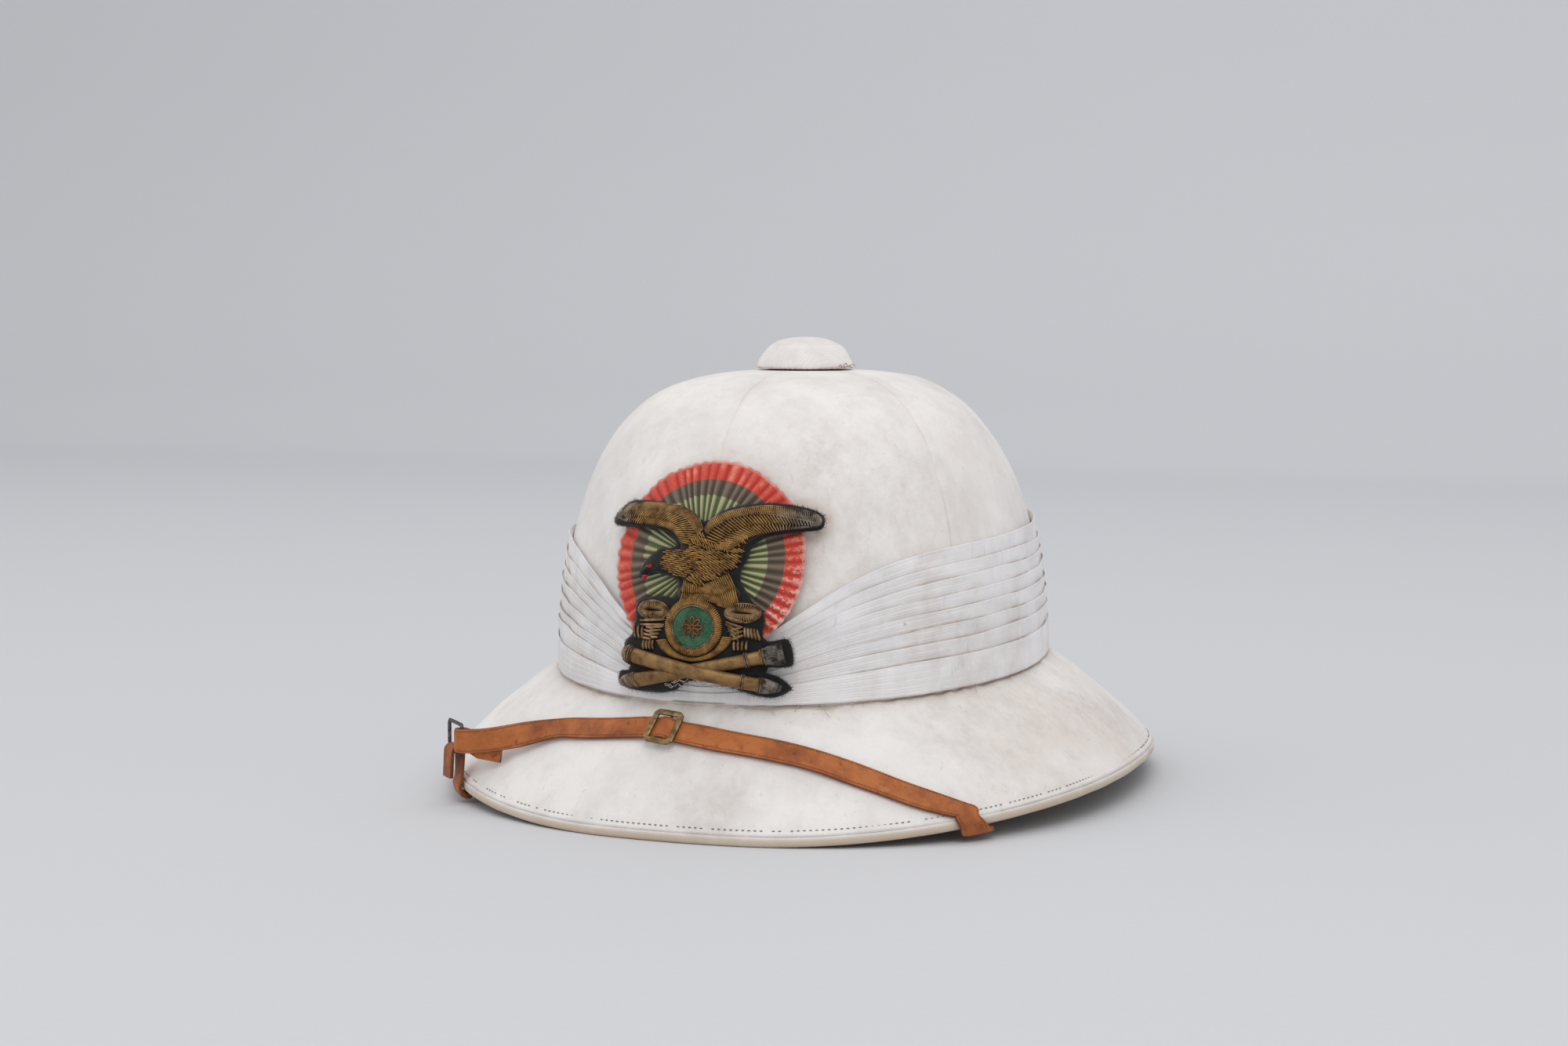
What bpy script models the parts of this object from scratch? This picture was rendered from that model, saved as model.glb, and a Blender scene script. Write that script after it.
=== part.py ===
"""White pith helmet with a pleated cloth band, an embroidered badge and a leather chin strap.

Metres, +Z up. The helmet stands on the front and rear of its rim at z = 0 and looks along -Y;
the wearer's left is +X. The origin is the middle of its bounding box's base.
An azimuth is an angle about the crown's upright axis: 0 at the front, positive to the wearer's left.
"""
from math import acos, asin, ceil, cos, degrees, exp, floor, hypot, pi, radians, sin, sqrt

import bmesh
import bpy
from mathutils import Matrix, Vector
from mathutils.geometry import delaunay_2d_cdt

# Crown: superelliptic dome on an oval plan
CROWN_HALF_LENGTH = 0.1207
CROWN_HALF_WIDTH = 0.1041
CROWN_START = 0.0549
CROWN_HEIGHT = 0.1251
DOME_HEIGHT_POWER = 2.13
DOME_SPREAD_POWER = 3.59
SHELL_WALL = 0.0035
PANEL_COUNT = 6
SEAM_DIP = 0.0003
# Brim: ruled from the crown's base line to an oval rim that lifts at the sides
BRIM_FRONT = 0.1564
BRIM_REAR = 0.1816
BRIM_HALF_WIDTH = 0.1497
RIM_SQUARENESS = 2.24
RIM_LIFT = 0.0115
RIM_REST_ANGLE = 12.0
RIM_LIFT_POWER = 1.6
RIM_THICKNESS = 0.0042
RIM_ROUNDING = 0.0006
RIM_FOOT = 0.0034
BRIM_BULGE = 0.002
BASE_DROP_FRONT = 0.0058
# Shares of the crown's height (outer rows), of the brim's width, and the spread at each dome row
DOME_SPREADS = (0.995, 0.98, 0.955, 0.92, 0.87, 0.8, 0.7, 0.56, 0.38, 0.2)
BRIM_SHARES = (0.14, 0.32, 0.52, 0.72, 0.88)
INNER_SPREADS = (0.995, 0.98, 0.92, 0.8, 0.7, 0.56, 0.38, 0.2)
COLUMNS = 54

# Pleated band round the crown
PIECE_GAP = 0.0004
BAND_GAP = 0.0006
BAND_HEIGHT_SIDE = 0.058
BAND_HEIGHT_FRONT = 0.019
BAND_FAN_ANGLE = 29.0
PLEAT_INNER = 0.0013
PLEAT_OUTER = 0.0026
PLEAT_TOPS = (0.24, 0.37, 0.475, 0.58, 0.68, 0.78, 0.88, 1.0)

# Vent button, its post and the vent hole
BUTTON_RADIUS = 0.021
BUTTON_HEIGHT = 0.013
BUTTON_LIFT = 0.0006
STEM_RADIUS = 0.0055
STEM_FOOT_RADIUS = 0.012
STEM_FOOT_THICKNESS = 0.0016
STEM_ENTRY = 0.005
BUTTON_PROFILE = ((0.0, 1.0), (0.3, 0.97), (0.56, 0.86), (0.78, 0.66), (0.92, 0.42), (0.99, 0.2),
                  (1.0, 0.1), (0.97, 0.0))

# Cockade of pleated ribbon, centred on the front seam
COCKADE_HEIGHT = 0.0506
COCKADE_RADIUS = 0.0395
COCKADE_THICKNESS = 0.0014
COCKADE_PLEAT = 0.0010
COCKADE_PLEATS = 32
COCKADE_FRONT_RINGS = (0.12, 0.35, 0.5, 0.66, 0.82, 1.0)
COCKADE_BACK_RINGS = (0.5, 1.0)

# Badge: felt and raised embroidery, drawn in hundredths of the wing span from the cockade's centre
WING_SPAN = 0.086
FELT_THICKNESS = 0.0012
FELT_FOOT_HEIGHT = 0.009
EMBROIDERY_EDGE = 0.0010
EMBROIDERY_LIFT = 0.0006
EAGLE_RISE = 0.0026
CORD_RISE = 0.0018
BARREL_RISE = 0.0034
BARREL_HALF_WIDTH = 0.003
RELIEF_GRID = 0.0042
DISC_CENTRE = (0.0, -29.3)
DISC_RADIUS = 9.4
DISC_RING_RADIUS = 13.2
HORN_CENTRE = (0.0, -26.7)
HORN_RADIUS = 17.4
KNOT_HALF_SIZE = (7.5, 3.9)
EMBROIDERY_GAP = 0.5

EAGLE_OUTLINE = (
    (1, 15), (5, 18), (9, 21), (15, 23), (22, 24), (30, 24.7), (39, 23.5), (47, 21), (50, 18.5),
    (49, 15.5), (44, 15), (37, 14), (30, 13), (24.5, 10.5), (20, 6.5), (19, 2), (17, -1.5), (14, -3.5),
    (16.5, -9.5), (19.5, -13), (18.8, -16), (15.5, -18), (11.5, -18), (8, -16.6), (4, -15.2), (0, -14.6),
    (-4, -15.2), (-7.6, -16.6), (-7.6, -13), (-5.5, -9), (-12.5, -5.5), (-21, -4.5), (-27, -7),
    (-25.5, -3), (-21, 2), (-13.5, 4), (-8.5, 5), (-10.5, 8.5), (-14, 12), (-19, 14), (-29, 15),
    (-38, 15.5), (-45, 15.5), (-46, 17.5), (-38, 23.5), (-28, 24), (-17.5, 23), (-8, 20), (-3, 17.5))
FELT_OUTLINE = (
    (1, 18.6), (7, 22.5), (15, 25.5), (28, 27), (38, 26), (47.5, 23.5), (52, 19.5), (51, 14), (43.5, 12.5),
    (36, 11.5), (29, 10), (24, 6), (22.5, 1), (20.5, -3.5), (20.5, -8), (23.5, -13), (27, -18),
    (31.5, -24), (31.5, -33.5), (41, -33.5), (43, -46), (32, -47.5), (38, -50.5), (43, -56.5),
    (36, -61.3), (28, -60.8), (19, -58), (2, -53.5), (-12, -60.5), (-29, -61.5), (-40, -59),
    (-38, -51.5), (-31.5, -49.8), (-36, -47), (-35, -37.5), (-31, -33.5), (-30, -24), (-28.5, -18.5),
    (-18.5, -15.5), (-10.5, -15.5), (-9.5, -10), (-14, -8), (-22, -7.3), (-28.5, -9.5), (-29.5, -5),
    (-25.5, 1), (-19.5, 5.5), (-12.5, 6.5), (-15, 10), (-21, 12), (-30, 12.8), (-46, 12.8),
    (-48.5, 17.5), (-41, 25), (-32, 26.5), (-17.5, 25.5), (-6.5, 21.5))
CORDS_OUTLINE = (
    (-28.5, -29.8), (-22, -28.4), (-16, -28.4), (-15.8, -31), (-18.3, -32.7), (-18.8, -36.5), (-18.9, -39.2),
    (-24.2, -39.2), (-24.6, -36.7), (-28, -35.8))
KNOT_CENTRES = {"left": (-20.4, -23.2), "right": (21.6, -23.2)}
OVER_BARREL = {"from": (-34.0, -42.2), "to": (39.5, -56.6)}
UNDER_BARREL = {"from": (-37.5, -57.3), "to": (39.8, -39.8)}
# Barrel outlines: share along the barrel, share of its half width
OVER_PROFILE = ((0.0, 0.6), (0.02, 1.1), (0.07, 1.1), (0.09, 0.95), (0.80, 1.0), (0.83, 0.95), (0.93, 1.05),
                (1.0, 0.25))
UNDER_PROFILE = ((0.0, 0.5), (0.03, 0.9), (0.12, 0.95), (0.80, 0.9), (0.88, 0.9), (0.91, 1.2), (0.97, 1.3),
                 (1.0, 0.9))

# Chin strap, its buckle, ring, tab and studs
STRAP_WIDTH = 0.010
STRAP_THICKNESS = 0.0020
STRAP_GAP = 0.0005
WRAP_GAP = 0.0009
FOLD_GAP = 0.0006
STRAP_STEP = 0.0055
STRAP_END_HEIGHT = 0.015
STUD_HEIGHT = 0.009
STUD_RADIUS = 0.0014
STUD_HEAD_RADIUS = 0.0036
STUD_HEAD_THICKNESS = 0.0010
STUD_DEPTH = 0.0024
STUD_CLEARANCE = 0.0003
BUCKLE_AZIMUTH = -4.6
BUCKLE_LENGTH = 0.0125
BUCKLE_BAND = 0.0019
BUCKLE_THICKNESS = 0.0012
BUCKLE_SIDE_CLEARANCE = 0.0004
BUCKLE_CORNER = 0.0026
RING_WIRE = 0.0016
RING_LENGTH = 0.0165
RING_SIDE_CLEARANCE = 0.0005
RING_HEIGHT = 0.028
RING_OUTSET = 0.0025
STRAP_RETURN = 0.018
RETURN_DROP = 0.0035
TAB_PLACE = 0.0102
TAB_FLAP = 0.0105
TAB_LEAN = 0.0006
# Strap route over the brim: azimuth in degrees, share of the brim's width from the crown
STRAP_ROUTE = ((46.5, 1.0), (42, 0.90), (37, 0.785), (31, 0.64), (23, 0.475), (15, 0.375), (6, 0.31),
               (-2, 0.26), (-8, 0.245), (-14, 0.275), (-20, 0.315), (-27, 0.36))
# Hidden routes under the brim, from the rim up to the crown's wall
STRAP_UNDER = ((49.5, 0.85), (54, 0.72), (59, 0.5), (64, 0.28), (70, 0.06))
TAB_UNDER = ((-47, 0.85), (-50, 0.72), (-55, 0.5), (-61, 0.28), (-68, 0.06))
RING_AZIMUTH = -42.5
TAB_AZIMUTH = -46.6

CROWN_Y = (BRIM_FRONT - BRIM_REAR) / 2
APEX_HEIGHT = CROWN_START + CROWN_HEIGHT
BADGE_UNIT = WING_SPAN / 100


def smooth_step(share):
    """Eases a share from 0 to 1."""
    share = min(max(share, 0.0), 1.0)
    return share * share * (3 - 2 * share)


def power(value, exponent):
    """A power that keeps the value's sign."""
    return (abs(value) ** exponent) * (1 if value >= 0 else -1)


def base_line(azimuth):
    """Height of the line where the crown meets the brim: lowest in front."""
    return CROWN_START - BASE_DROP_FRONT * cos(azimuth)


def dome_spread(height):
    """Share of the crown's plan that is left at a height above the crown's start."""
    share = min(max(height / CROWN_HEIGHT, 0.0), 1.0)
    return (1 - share ** DOME_HEIGHT_POWER) ** (1 / DOME_SPREAD_POWER)


def dome_height(spread):
    """Height above the crown's start where the plan has shrunk to a spread."""
    return CROWN_HEIGHT * (1 - spread ** DOME_SPREAD_POWER) ** (1 / DOME_HEIGHT_POWER)


def oval_point(azimuth, spread, height):
    """Point on the crown's oval plan, at a height above z = 0."""
    return Vector((CROWN_HALF_WIDTH * spread * sin(azimuth),
                   CROWN_Y - CROWN_HALF_LENGTH * spread * cos(azimuth), height))


def crown_point(azimuth, height, offset=0.0):
    """Point at a height above z = 0, moved out along the crown's normal."""
    point = oval_point(azimuth, dome_spread(height - CROWN_START), height)
    return point + crown_normal(azimuth, height) * offset


def crown_normal(azimuth, height):
    """Outward normal of the crown, from neighbouring points."""
    step = 0.0002
    low = min(height, APEX_HEIGHT - 2 * step)
    around = (oval_point(azimuth + 0.01, dome_spread(low - CROWN_START), low)
              - oval_point(azimuth - 0.01, dome_spread(low - CROWN_START), low))
    up = (oval_point(azimuth, dome_spread(low + step - CROWN_START), low + step)
          - oval_point(azimuth, dome_spread(low - step - CROWN_START), low - step))
    return around.cross(up).normalized()


def rim_height(azimuth):
    """Height of the rim's underside: flat in front and behind, lifted at the sides."""
    from_axis = degrees(acos(min(abs(cos(azimuth)), 1.0)))
    share = min(max((from_axis - RIM_REST_ANGLE) / (90 - RIM_REST_ANGLE), 0.0), 1.0)
    return RIM_LIFT * sin(share * pi / 2) ** RIM_LIFT_POWER


def rim_point(azimuth, inset=0.0, rise=0.0):
    """Point of the rim's outline, moved towards the crown and up."""
    reach = BRIM_FRONT if cos(azimuth) > 0 else BRIM_REAR
    shape = 2 / RIM_SQUARENESS
    x = BRIM_HALF_WIDTH * power(sin(azimuth), shape)
    y = CROWN_Y - reach * power(cos(azimuth), shape)
    inwards = (Vector((0, CROWN_Y, 0)) - Vector((x, y, 0))).normalized() * inset
    return Vector((x, y, rim_height(azimuth) + rise)) + inwards


def brim_line(azimuth, share):
    """Point on the brim's upper side, from the crown (0) to the rim (1)."""
    start = oval_point(azimuth, dome_spread(base_line(azimuth) - CROWN_START), base_line(azimuth))
    end = rim_point(azimuth, RIM_ROUNDING, RIM_THICKNESS)
    run = end - start
    out = Vector((run.x, run.y, 0)).normalized()
    lean = Vector((out.x * -run.z, out.y * -run.z, hypot(run.x, run.y))).normalized()
    return start + run * share + lean * BRIM_BULGE * 4 * share * (1 - share)


def brim_normal(azimuth, share):
    """Normal of the brim's upper side, from neighbouring points."""
    around = brim_line(azimuth + 0.01, share) - brim_line(azimuth - 0.01, share)
    down = brim_line(azimuth, share + 0.01) - brim_line(azimuth, share - 0.01)
    return down.cross(around).normalized()


def brim_point(azimuth, share, offset=0.0):
    """Point off the brim's upper side: negative offsets are under it."""
    return brim_line(azimuth, share) + brim_normal(azimuth, share) * offset


def principled(name, colour, roughness, metallic=0.0):
    """A plain surface in one colour."""
    material = bpy.data.materials.new(name)
    material.use_nodes = True
    shader = material.node_tree.nodes["Principled BSDF"]
    shader.inputs["Base Color"].default_value = (*colour, 1.0)
    shader.inputs["Roughness"].default_value = roughness
    shader.inputs["Metallic"].default_value = metallic
    material.diffuse_color = (*colour, 1.0)
    return material


def canvas_surface():
    return principled("canvas", (0.72, 0.70, 0.67), 0.9)


def leather_surface():
    return principled("leather", (0.42, 0.16, 0.06), 0.55)


def brass_surface(name):
    return principled(name, (0.40, 0.32, 0.18), 0.4, 1.0)


def bullion_surface():
    return principled("bullion", (0.32, 0.22, 0.09), 0.45, 0.7)


def add_object(name, bm, material, sharp_degrees=40):
    """Turns a closed bmesh into a node with faces pointing out."""
    bmesh.ops.recalc_face_normals(bm, faces=bm.faces)
    mesh = bpy.data.meshes.new(name)
    bm.to_mesh(mesh)
    bm.free()
    mesh.materials.append(material)
    mesh.shade_smooth()
    mesh.set_sharp_from_angle(angle=radians(sharp_degrees))
    obj = bpy.data.objects.new(name, mesh)
    bpy.context.collection.objects.link(obj)
    return obj


def add_loops(bm, loops):
    """Adds rings of points as vertices."""
    return [[bm.verts.new(point) for point in loop] for loop in loops]


def bridge(bm, first, second):
    """Joins two rings of the same length with quads."""
    count = len(first)
    for i in range(count):
        j = (i + 1) % count
        bm.faces.new((first[i], first[j], second[j], second[i]))


def ring_of_rings(loops):
    """A closed body from rings that follow each other round a cross-section."""
    bm = bmesh.new()
    rows = add_loops(bm, loops)
    for first, second in zip(rows, rows[1:] + rows[:1]):
        bridge(bm, first, second)
    return bm


def azimuths(count=COLUMNS):
    return [2 * pi * i / count for i in range(count)]


def seam_dip(azimuth):
    """How far the cover dips at the panels' seams."""
    turn = azimuth / (2 * pi / PANEL_COUNT)
    return SEAM_DIP if abs(turn - round(turn)) < 1e-6 else 0.0


def inner_corner(azimuth):
    """Corner inside the wall where crown and brim meet, and the outward normals of both."""
    wall_normal = crown_normal(azimuth, base_line(azimuth))
    slope_normal = brim_normal(azimuth, 0.02)
    depth = SHELL_WALL / (1 + wall_normal.dot(slope_normal))
    return brim_line(azimuth, 0) - (wall_normal + slope_normal) * depth, wall_normal, slope_normal


def crown_section(azimuth):
    """Points round the crown wall's section: up its outside, down its inside."""
    base = base_line(azimuth)
    hole = STEM_RADIUS + PIECE_GAP
    round_hole = Vector((hole * sin(azimuth), CROWN_Y - hole * cos(azimuth), 0))
    outer = [crown_point(azimuth, max(CROWN_START + dome_height(s), base), -seam_dip(azimuth))
             for s in DOME_SPREADS]
    outer.append(round_hole + Vector((0, 0, APEX_HEIGHT)))
    inner = [crown_point(azimuth, max(CROWN_START + dome_height(s), base), -SHELL_WALL)
             for s in INNER_SPREADS]
    inner.append(round_hole + Vector((0, 0, APEX_HEIGHT - SHELL_WALL)))
    return [brim_line(azimuth, 0)] + outer + inner[::-1] + [inner_corner(azimuth)[0]]


def brim_section(azimuth):
    """Points round the brim wall's section: under it, round the rim, back over it."""
    start = brim_line(azimuth, 0)
    clear = (brim_line(azimuth, 0.1) - start).normalized() * PIECE_GAP
    under = [brim_point(azimuth, s, -SHELL_WALL) for s in BRIM_SHARES]
    above = [brim_point(azimuth, s) for s in BRIM_SHARES]
    edge = [rim_point(azimuth, RIM_FOOT), rim_point(azimuth, RIM_ROUNDING),
            rim_point(azimuth, 0, RIM_THICKNESS * 0.35), rim_point(azimuth, RIM_ROUNDING, RIM_THICKNESS)]
    return [inner_corner(azimuth)[0] + clear] + under + edge + above[::-1] + [start + clear]


def make_crown():
    """Domed wall of six panels, open below and at the vent hole."""
    sections = [crown_section(a) for a in azimuths()]
    loops = [[section[row] for section in sections] for row in range(len(sections[0]))]
    crown = add_object("crown", ring_of_rings(loops), canvas_surface())
    for side, azimuth in stud_places():
        cut(crown, stud_body(side + "_crown_cut", azimuth, STUD_CLEARANCE, 0.0))


def make_brim():
    """Sloping wall round the crown, with a rolled rim that stands in front and behind."""
    sections = [brim_section(a) for a in azimuths()]
    loops = [[section[row] for section in sections] for row in range(len(sections[0]))]
    add_object("brim", ring_of_rings(loops), canvas_surface())


def band_height(azimuth):
    """Height of the pleated band, which narrows towards the front."""
    from_front = degrees(acos(min(max(cos(azimuth), -1.0), 1.0)))
    narrowing = exp(-(from_front / BAND_FAN_ANGLE) ** 2)
    return BAND_HEIGHT_SIDE - (BAND_HEIGHT_SIDE - BAND_HEIGHT_FRONT) * narrowing


def band_section(azimuth):
    """Points round the band's section: pleats up the outside, plain down the inside."""
    foot = base_line(azimuth) + PIECE_GAP
    tall = band_height(azimuth)
    depth = (PLEAT_OUTER - PLEAT_INNER) * (0.4 + 0.6 * tall / BAND_HEIGHT_SIDE)
    points = []
    low = 0.0
    for top in PLEAT_TOPS:
        recess = PLEAT_INNER if low else PLEAT_OUTER
        points.append(crown_point(azimuth, foot + tall * low, recess + BAND_GAP))
        points.append(crown_point(azimuth, foot + tall * (top - 0.015), PLEAT_INNER + depth + BAND_GAP))
        low = top
    for share in (1.0, 0.66, 0.33, 0.0):
        points.append(crown_point(azimuth, foot + tall * share, BAND_GAP))
    return points


def make_puggaree():
    """Cloth band of eight pleats that close up in front."""
    sections = [band_section(a) for a in azimuths()]
    loops = [[section[row] for section in sections] for row in range(len(sections[0]))]
    return add_object("puggaree", ring_of_rings(loops), canvas_surface(), 30)


def turned(name, profile, material, segments=28):
    """A body turned about the crown's axis; the profile runs from axis to axis."""
    bm = bmesh.new()
    first = bm.verts.new((0, CROWN_Y, profile[0][1]))
    last = bm.verts.new((0, CROWN_Y, profile[-1][1]))
    loops = [[Vector((r * sin(a), CROWN_Y - r * cos(a), z)) for a in azimuths(segments)]
             for r, z in profile[1:-1]]
    rows = add_loops(bm, loops)
    for lower, upper in zip(rows, rows[1:]):
        bridge(bm, lower, upper)
    for i in range(segments):
        j = (i + 1) % segments
        bm.faces.new((first, rows[0][i], rows[0][j]))
        bm.faces.new((last, rows[-1][j], rows[-1][i]))
    return add_object(name, bm, material)


def make_button():
    """Domed button with a socket below for its post."""
    foot = APEX_HEIGHT + BUTTON_LIFT
    socket = STEM_RADIUS + PIECE_GAP
    outside = [(BUTTON_RADIUS * r, foot + BUTTON_HEIGHT * z) for r, z in BUTTON_PROFILE]
    inside = [(socket, foot), (socket, foot + STEM_ENTRY), (0, foot + STEM_ENTRY)]
    return turned("vent_button", outside + inside, canvas_surface())


def make_button_stem():
    """Post through the vent hole, with a foot under the crown."""
    ceiling = APEX_HEIGHT - SHELL_WALL - PIECE_GAP
    top = APEX_HEIGHT + BUTTON_LIFT + STEM_ENTRY - PIECE_GAP
    profile = [(0, top), (STEM_RADIUS, top), (STEM_RADIUS, ceiling), (STEM_FOOT_RADIUS, ceiling),
               (STEM_FOOT_RADIUS, ceiling - STEM_FOOT_THICKNESS), (0, ceiling - STEM_FOOT_THICKNESS)]
    return turned("button_stem", profile, brass_surface("stem_metal"), 24)


def badge_azimuth(x, height):
    """Azimuth of a drawn point, from its distance to the front seam."""
    return asin(x / (CROWN_HALF_WIDTH * dome_spread(height - CROWN_START)))


def badge_point(x, y, offset):
    """Point of the badge's drawing (metres from the cockade's centre), off the crown."""
    height = CROWN_START + COCKADE_HEIGHT + y
    return crown_point(badge_azimuth(x, height), height, offset)


def band_pad(y):
    """Offset that clears the pleated band below and rests on the crown at the cockade's top."""
    edge = badge_azimuth(COCKADE_RADIUS, CROWN_START + COCKADE_HEIGHT)
    band_top = base_line(edge) + band_height(edge) - CROWN_START - COCKADE_HEIGHT
    lean = min(max((COCKADE_RADIUS - y) / (COCKADE_RADIUS - band_top), 0.0), 1.0)
    return PIECE_GAP + (PLEAT_OUTER + BAND_GAP) * lean


def felt_seat(y):
    """Offset of the felt's back: over the cockade, closing to the band at its foot."""
    low = FELT_OUTLINE[30][1] * BADGE_UNIT
    share = min(max((y - low) / FELT_FOOT_HEIGHT, 0.0), 1.0)
    return band_pad(y) + (COCKADE_THICKNESS + COCKADE_PLEAT + EMBROIDERY_LIFT) * share


def embroidery_seat(y):
    """Offset of the embroidery's back, on the felt."""
    return felt_seat(y) + FELT_THICKNESS + EMBROIDERY_LIFT


def make_cockade():
    """Disc of ribbon in radial pleats."""
    bm = bmesh.new()
    columns = 2 * COCKADE_PLEATS

    def ring(share, rise, pleat):
        points = []
        for i in range(columns):
            angle = 2 * pi * i / columns
            x, y = COCKADE_RADIUS * share * sin(angle), COCKADE_RADIUS * share * cos(angle)
            points.append(badge_point(x, y, band_pad(y) + rise + pleat * (i % 2) * min(share * 2, 1)))
        return points

    front = add_loops(bm, [ring(s, COCKADE_THICKNESS, COCKADE_PLEAT) for s in COCKADE_FRONT_RINGS])
    back = add_loops(bm, [ring(s, 0, 0) for s in COCKADE_BACK_RINGS])
    hub = bm.verts.new(badge_point(0, 0, band_pad(0) + COCKADE_THICKNESS))
    seat = bm.verts.new(badge_point(0, 0, band_pad(0)))
    for rows in (front, back):
        for inner, outer in zip(rows, rows[1:]):
            bridge(bm, inner, outer)
    bridge(bm, front[-1], back[-1])
    for i in range(columns):
        j = (i + 1) % columns
        bm.faces.new((hub, front[0][i], front[0][j]))
        bm.faces.new((seat, back[0][j], back[0][i]))
    return add_object("cockade", bm, principled("ribbon", (0.45, 0.05, 0.03), 0.85), 25)


def split_long_edges(outline, longest):
    """Adds points on edges that are longer than a length."""
    points = []
    for start, end in zip(outline, outline[1:] + outline[:1]):
        pieces = max(1, ceil((end - start).length / longest))
        points += [start.lerp(end, i / pieces) for i in range(pieces)]
    return points


def edge_distance(point, outline):
    """Distance from a point to an outline."""
    nearest = 1.0
    for start, end in zip(outline, outline[1:] + outline[:1]):
        run = end - start
        share = min(max((point - start).dot(run) / run.length_squared, 0.0), 1.0)
        nearest = min(nearest, (point - start - run * share).length)
    return nearest


def is_inside(point, outline):
    """Whether a point is inside an outline."""
    inside = False
    for a, b in zip(outline, outline[1:] + outline[:1]):
        if (a.y > point.y) != (b.y > point.y):
            if point.x < (b.x - a.x) * (point.y - a.y) / (b.y - a.y) + a.x:
                inside = not inside
    return inside


def grid_points(outline, spacing):
    """Points of a staggered grid inside an outline, clear of its edge."""
    xs, ys = [p.x for p in outline], [p.y for p in outline]
    points = []
    row_height = spacing * sqrt(3) / 2
    for row in range(floor(min(ys) / row_height), ceil(max(ys) / row_height) + 1):
        shift = spacing / 2 * (row % 2)
        for column in range(floor(min(xs) / spacing) - 1, ceil(max(xs) / spacing) + 1):
            point = Vector((column * spacing + shift, row * row_height))
            if is_inside(point, outline) and edge_distance(point, outline) > spacing * 0.45:
                points.append(point)
    return points


def make_relief(name, drawing, seat, edge_rise, crown_rise, shoulder, material, spacing=RELIEF_GRID):
    """A flat-backed raised shape cut to an outline and bent round the crown."""
    outline = split_long_edges([Vector(p) for p in drawing], spacing * 1.3)
    points = outline + grid_points(outline, spacing)
    rim = list(range(len(outline)))
    edges = list(zip(rim, rim[1:] + rim[:1]))
    flat = delaunay_2d_cdt(points, edges, [rim], 1, 1e-7)
    flat_points, triangles = flat[0], flat[2]
    bm = bmesh.new()
    tops, backs = [], []
    for p in flat_points:
        swell = sqrt(min(edge_distance(p, outline) / shoulder, 1.0))
        rise = edge_rise + (crown_rise - edge_rise) * swell
        tops.append(bm.verts.new(badge_point(p.x, p.y, seat(p.y) + rise)))
        backs.append(bm.verts.new(badge_point(p.x, p.y, seat(p.y))))
    used = {}
    for triangle in triangles:
        bm.faces.new([tops[i] for i in triangle])
        bm.faces.new([backs[i] for i in reversed(triangle)])
        for a, b in zip(triangle, triangle[1:] + triangle[:1]):
            used[(a, b)] = used.get((b, a), 0) + 1
    for a, b in used:
        if (b, a) not in used:
            bm.faces.new((tops[a], backs[a], backs[b], tops[b]))
    bmesh.ops.delete(bm, geom=[v for v in bm.verts if not v.link_faces], context="VERTS")
    return add_object(name, bm, material)


def drawn(points):
    """Turns a drawing in hundredths of the wing span into metres."""
    return [(x * BADGE_UNIT, y * BADGE_UNIT) for x, y in points]


def arc(centre, radius, start, end, steps):
    """Points on an arc, in degrees from +x towards +y."""
    turns = [radians(start + (end - start) * i / steps) for i in range(steps + 1)]
    return [(centre[0] + radius * cos(t), centre[1] + radius * sin(t)) for t in turns]


def make_felt():
    """Felt backing of the badge."""
    felt = principled("felt", (0.012, 0.012, 0.013), 0.95)
    make_relief("badge_felt", drawn(FELT_OUTLINE), felt_seat, FELT_THICKNESS, FELT_THICKNESS,
                RELIEF_GRID, felt, RELIEF_GRID * 1.3)


def make_eagle():
    """Eagle with spread wings, padded in the middle."""
    make_relief("eagle", drawn(EAGLE_OUTLINE), embroidery_seat, EMBROIDERY_EDGE, EAGLE_RISE,
                RELIEF_GRID, bullion_surface())


def make_ring_and_disc():
    """Felt disc inside a rounded ring of wire embroidery."""
    centre = Vector(DISC_CENTRE) * BADGE_UNIT
    inner, outer = (DISC_RADIUS + EMBROIDERY_GAP) * BADGE_UNIT, DISC_RING_RADIUS * BADGE_UNIT
    middle = (inner + outer) / 2

    def circle(radius, rise, steps=28):
        spots = [centre + Vector((radius * cos(a), radius * sin(a))) for a in azimuths(steps)]
        return [badge_point(p.x, p.y, embroidery_seat(p.y) + rise) for p in spots]

    rows = [(inner, 0), (inner, EMBROIDERY_EDGE), (middle, CORD_RISE), (outer, EMBROIDERY_EDGE), (outer, 0)]
    add_object("disc_ring", ring_of_rings([circle(r, z) for r, z in rows]), bullion_surface())
    green = principled("green_felt", (0.03, 0.23, 0.13), 0.95)
    disc = arc((0, 0), DISC_RADIUS * BADGE_UNIT, 0, 360 - 360 / 24, 23)
    make_relief("green_disc", [(centre.x + x, centre.y + y) for x, y in disc], embroidery_seat,
                EMBROIDERY_EDGE, EMBROIDERY_EDGE, 0.001, green)


def make_horn():
    """Crescent of the hunting horn under the ring."""
    outer = arc(HORN_CENTRE, HORN_RADIUS, 206, 334, 14)
    inner = arc(DISC_CENTRE, DISC_RING_RADIUS + EMBROIDERY_GAP, 340, 200, 14)
    make_relief("horn", drawn(outer + inner), embroidery_seat, EMBROIDERY_EDGE, CORD_RISE,
                RELIEF_GRID / 3, bullion_surface())


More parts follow.
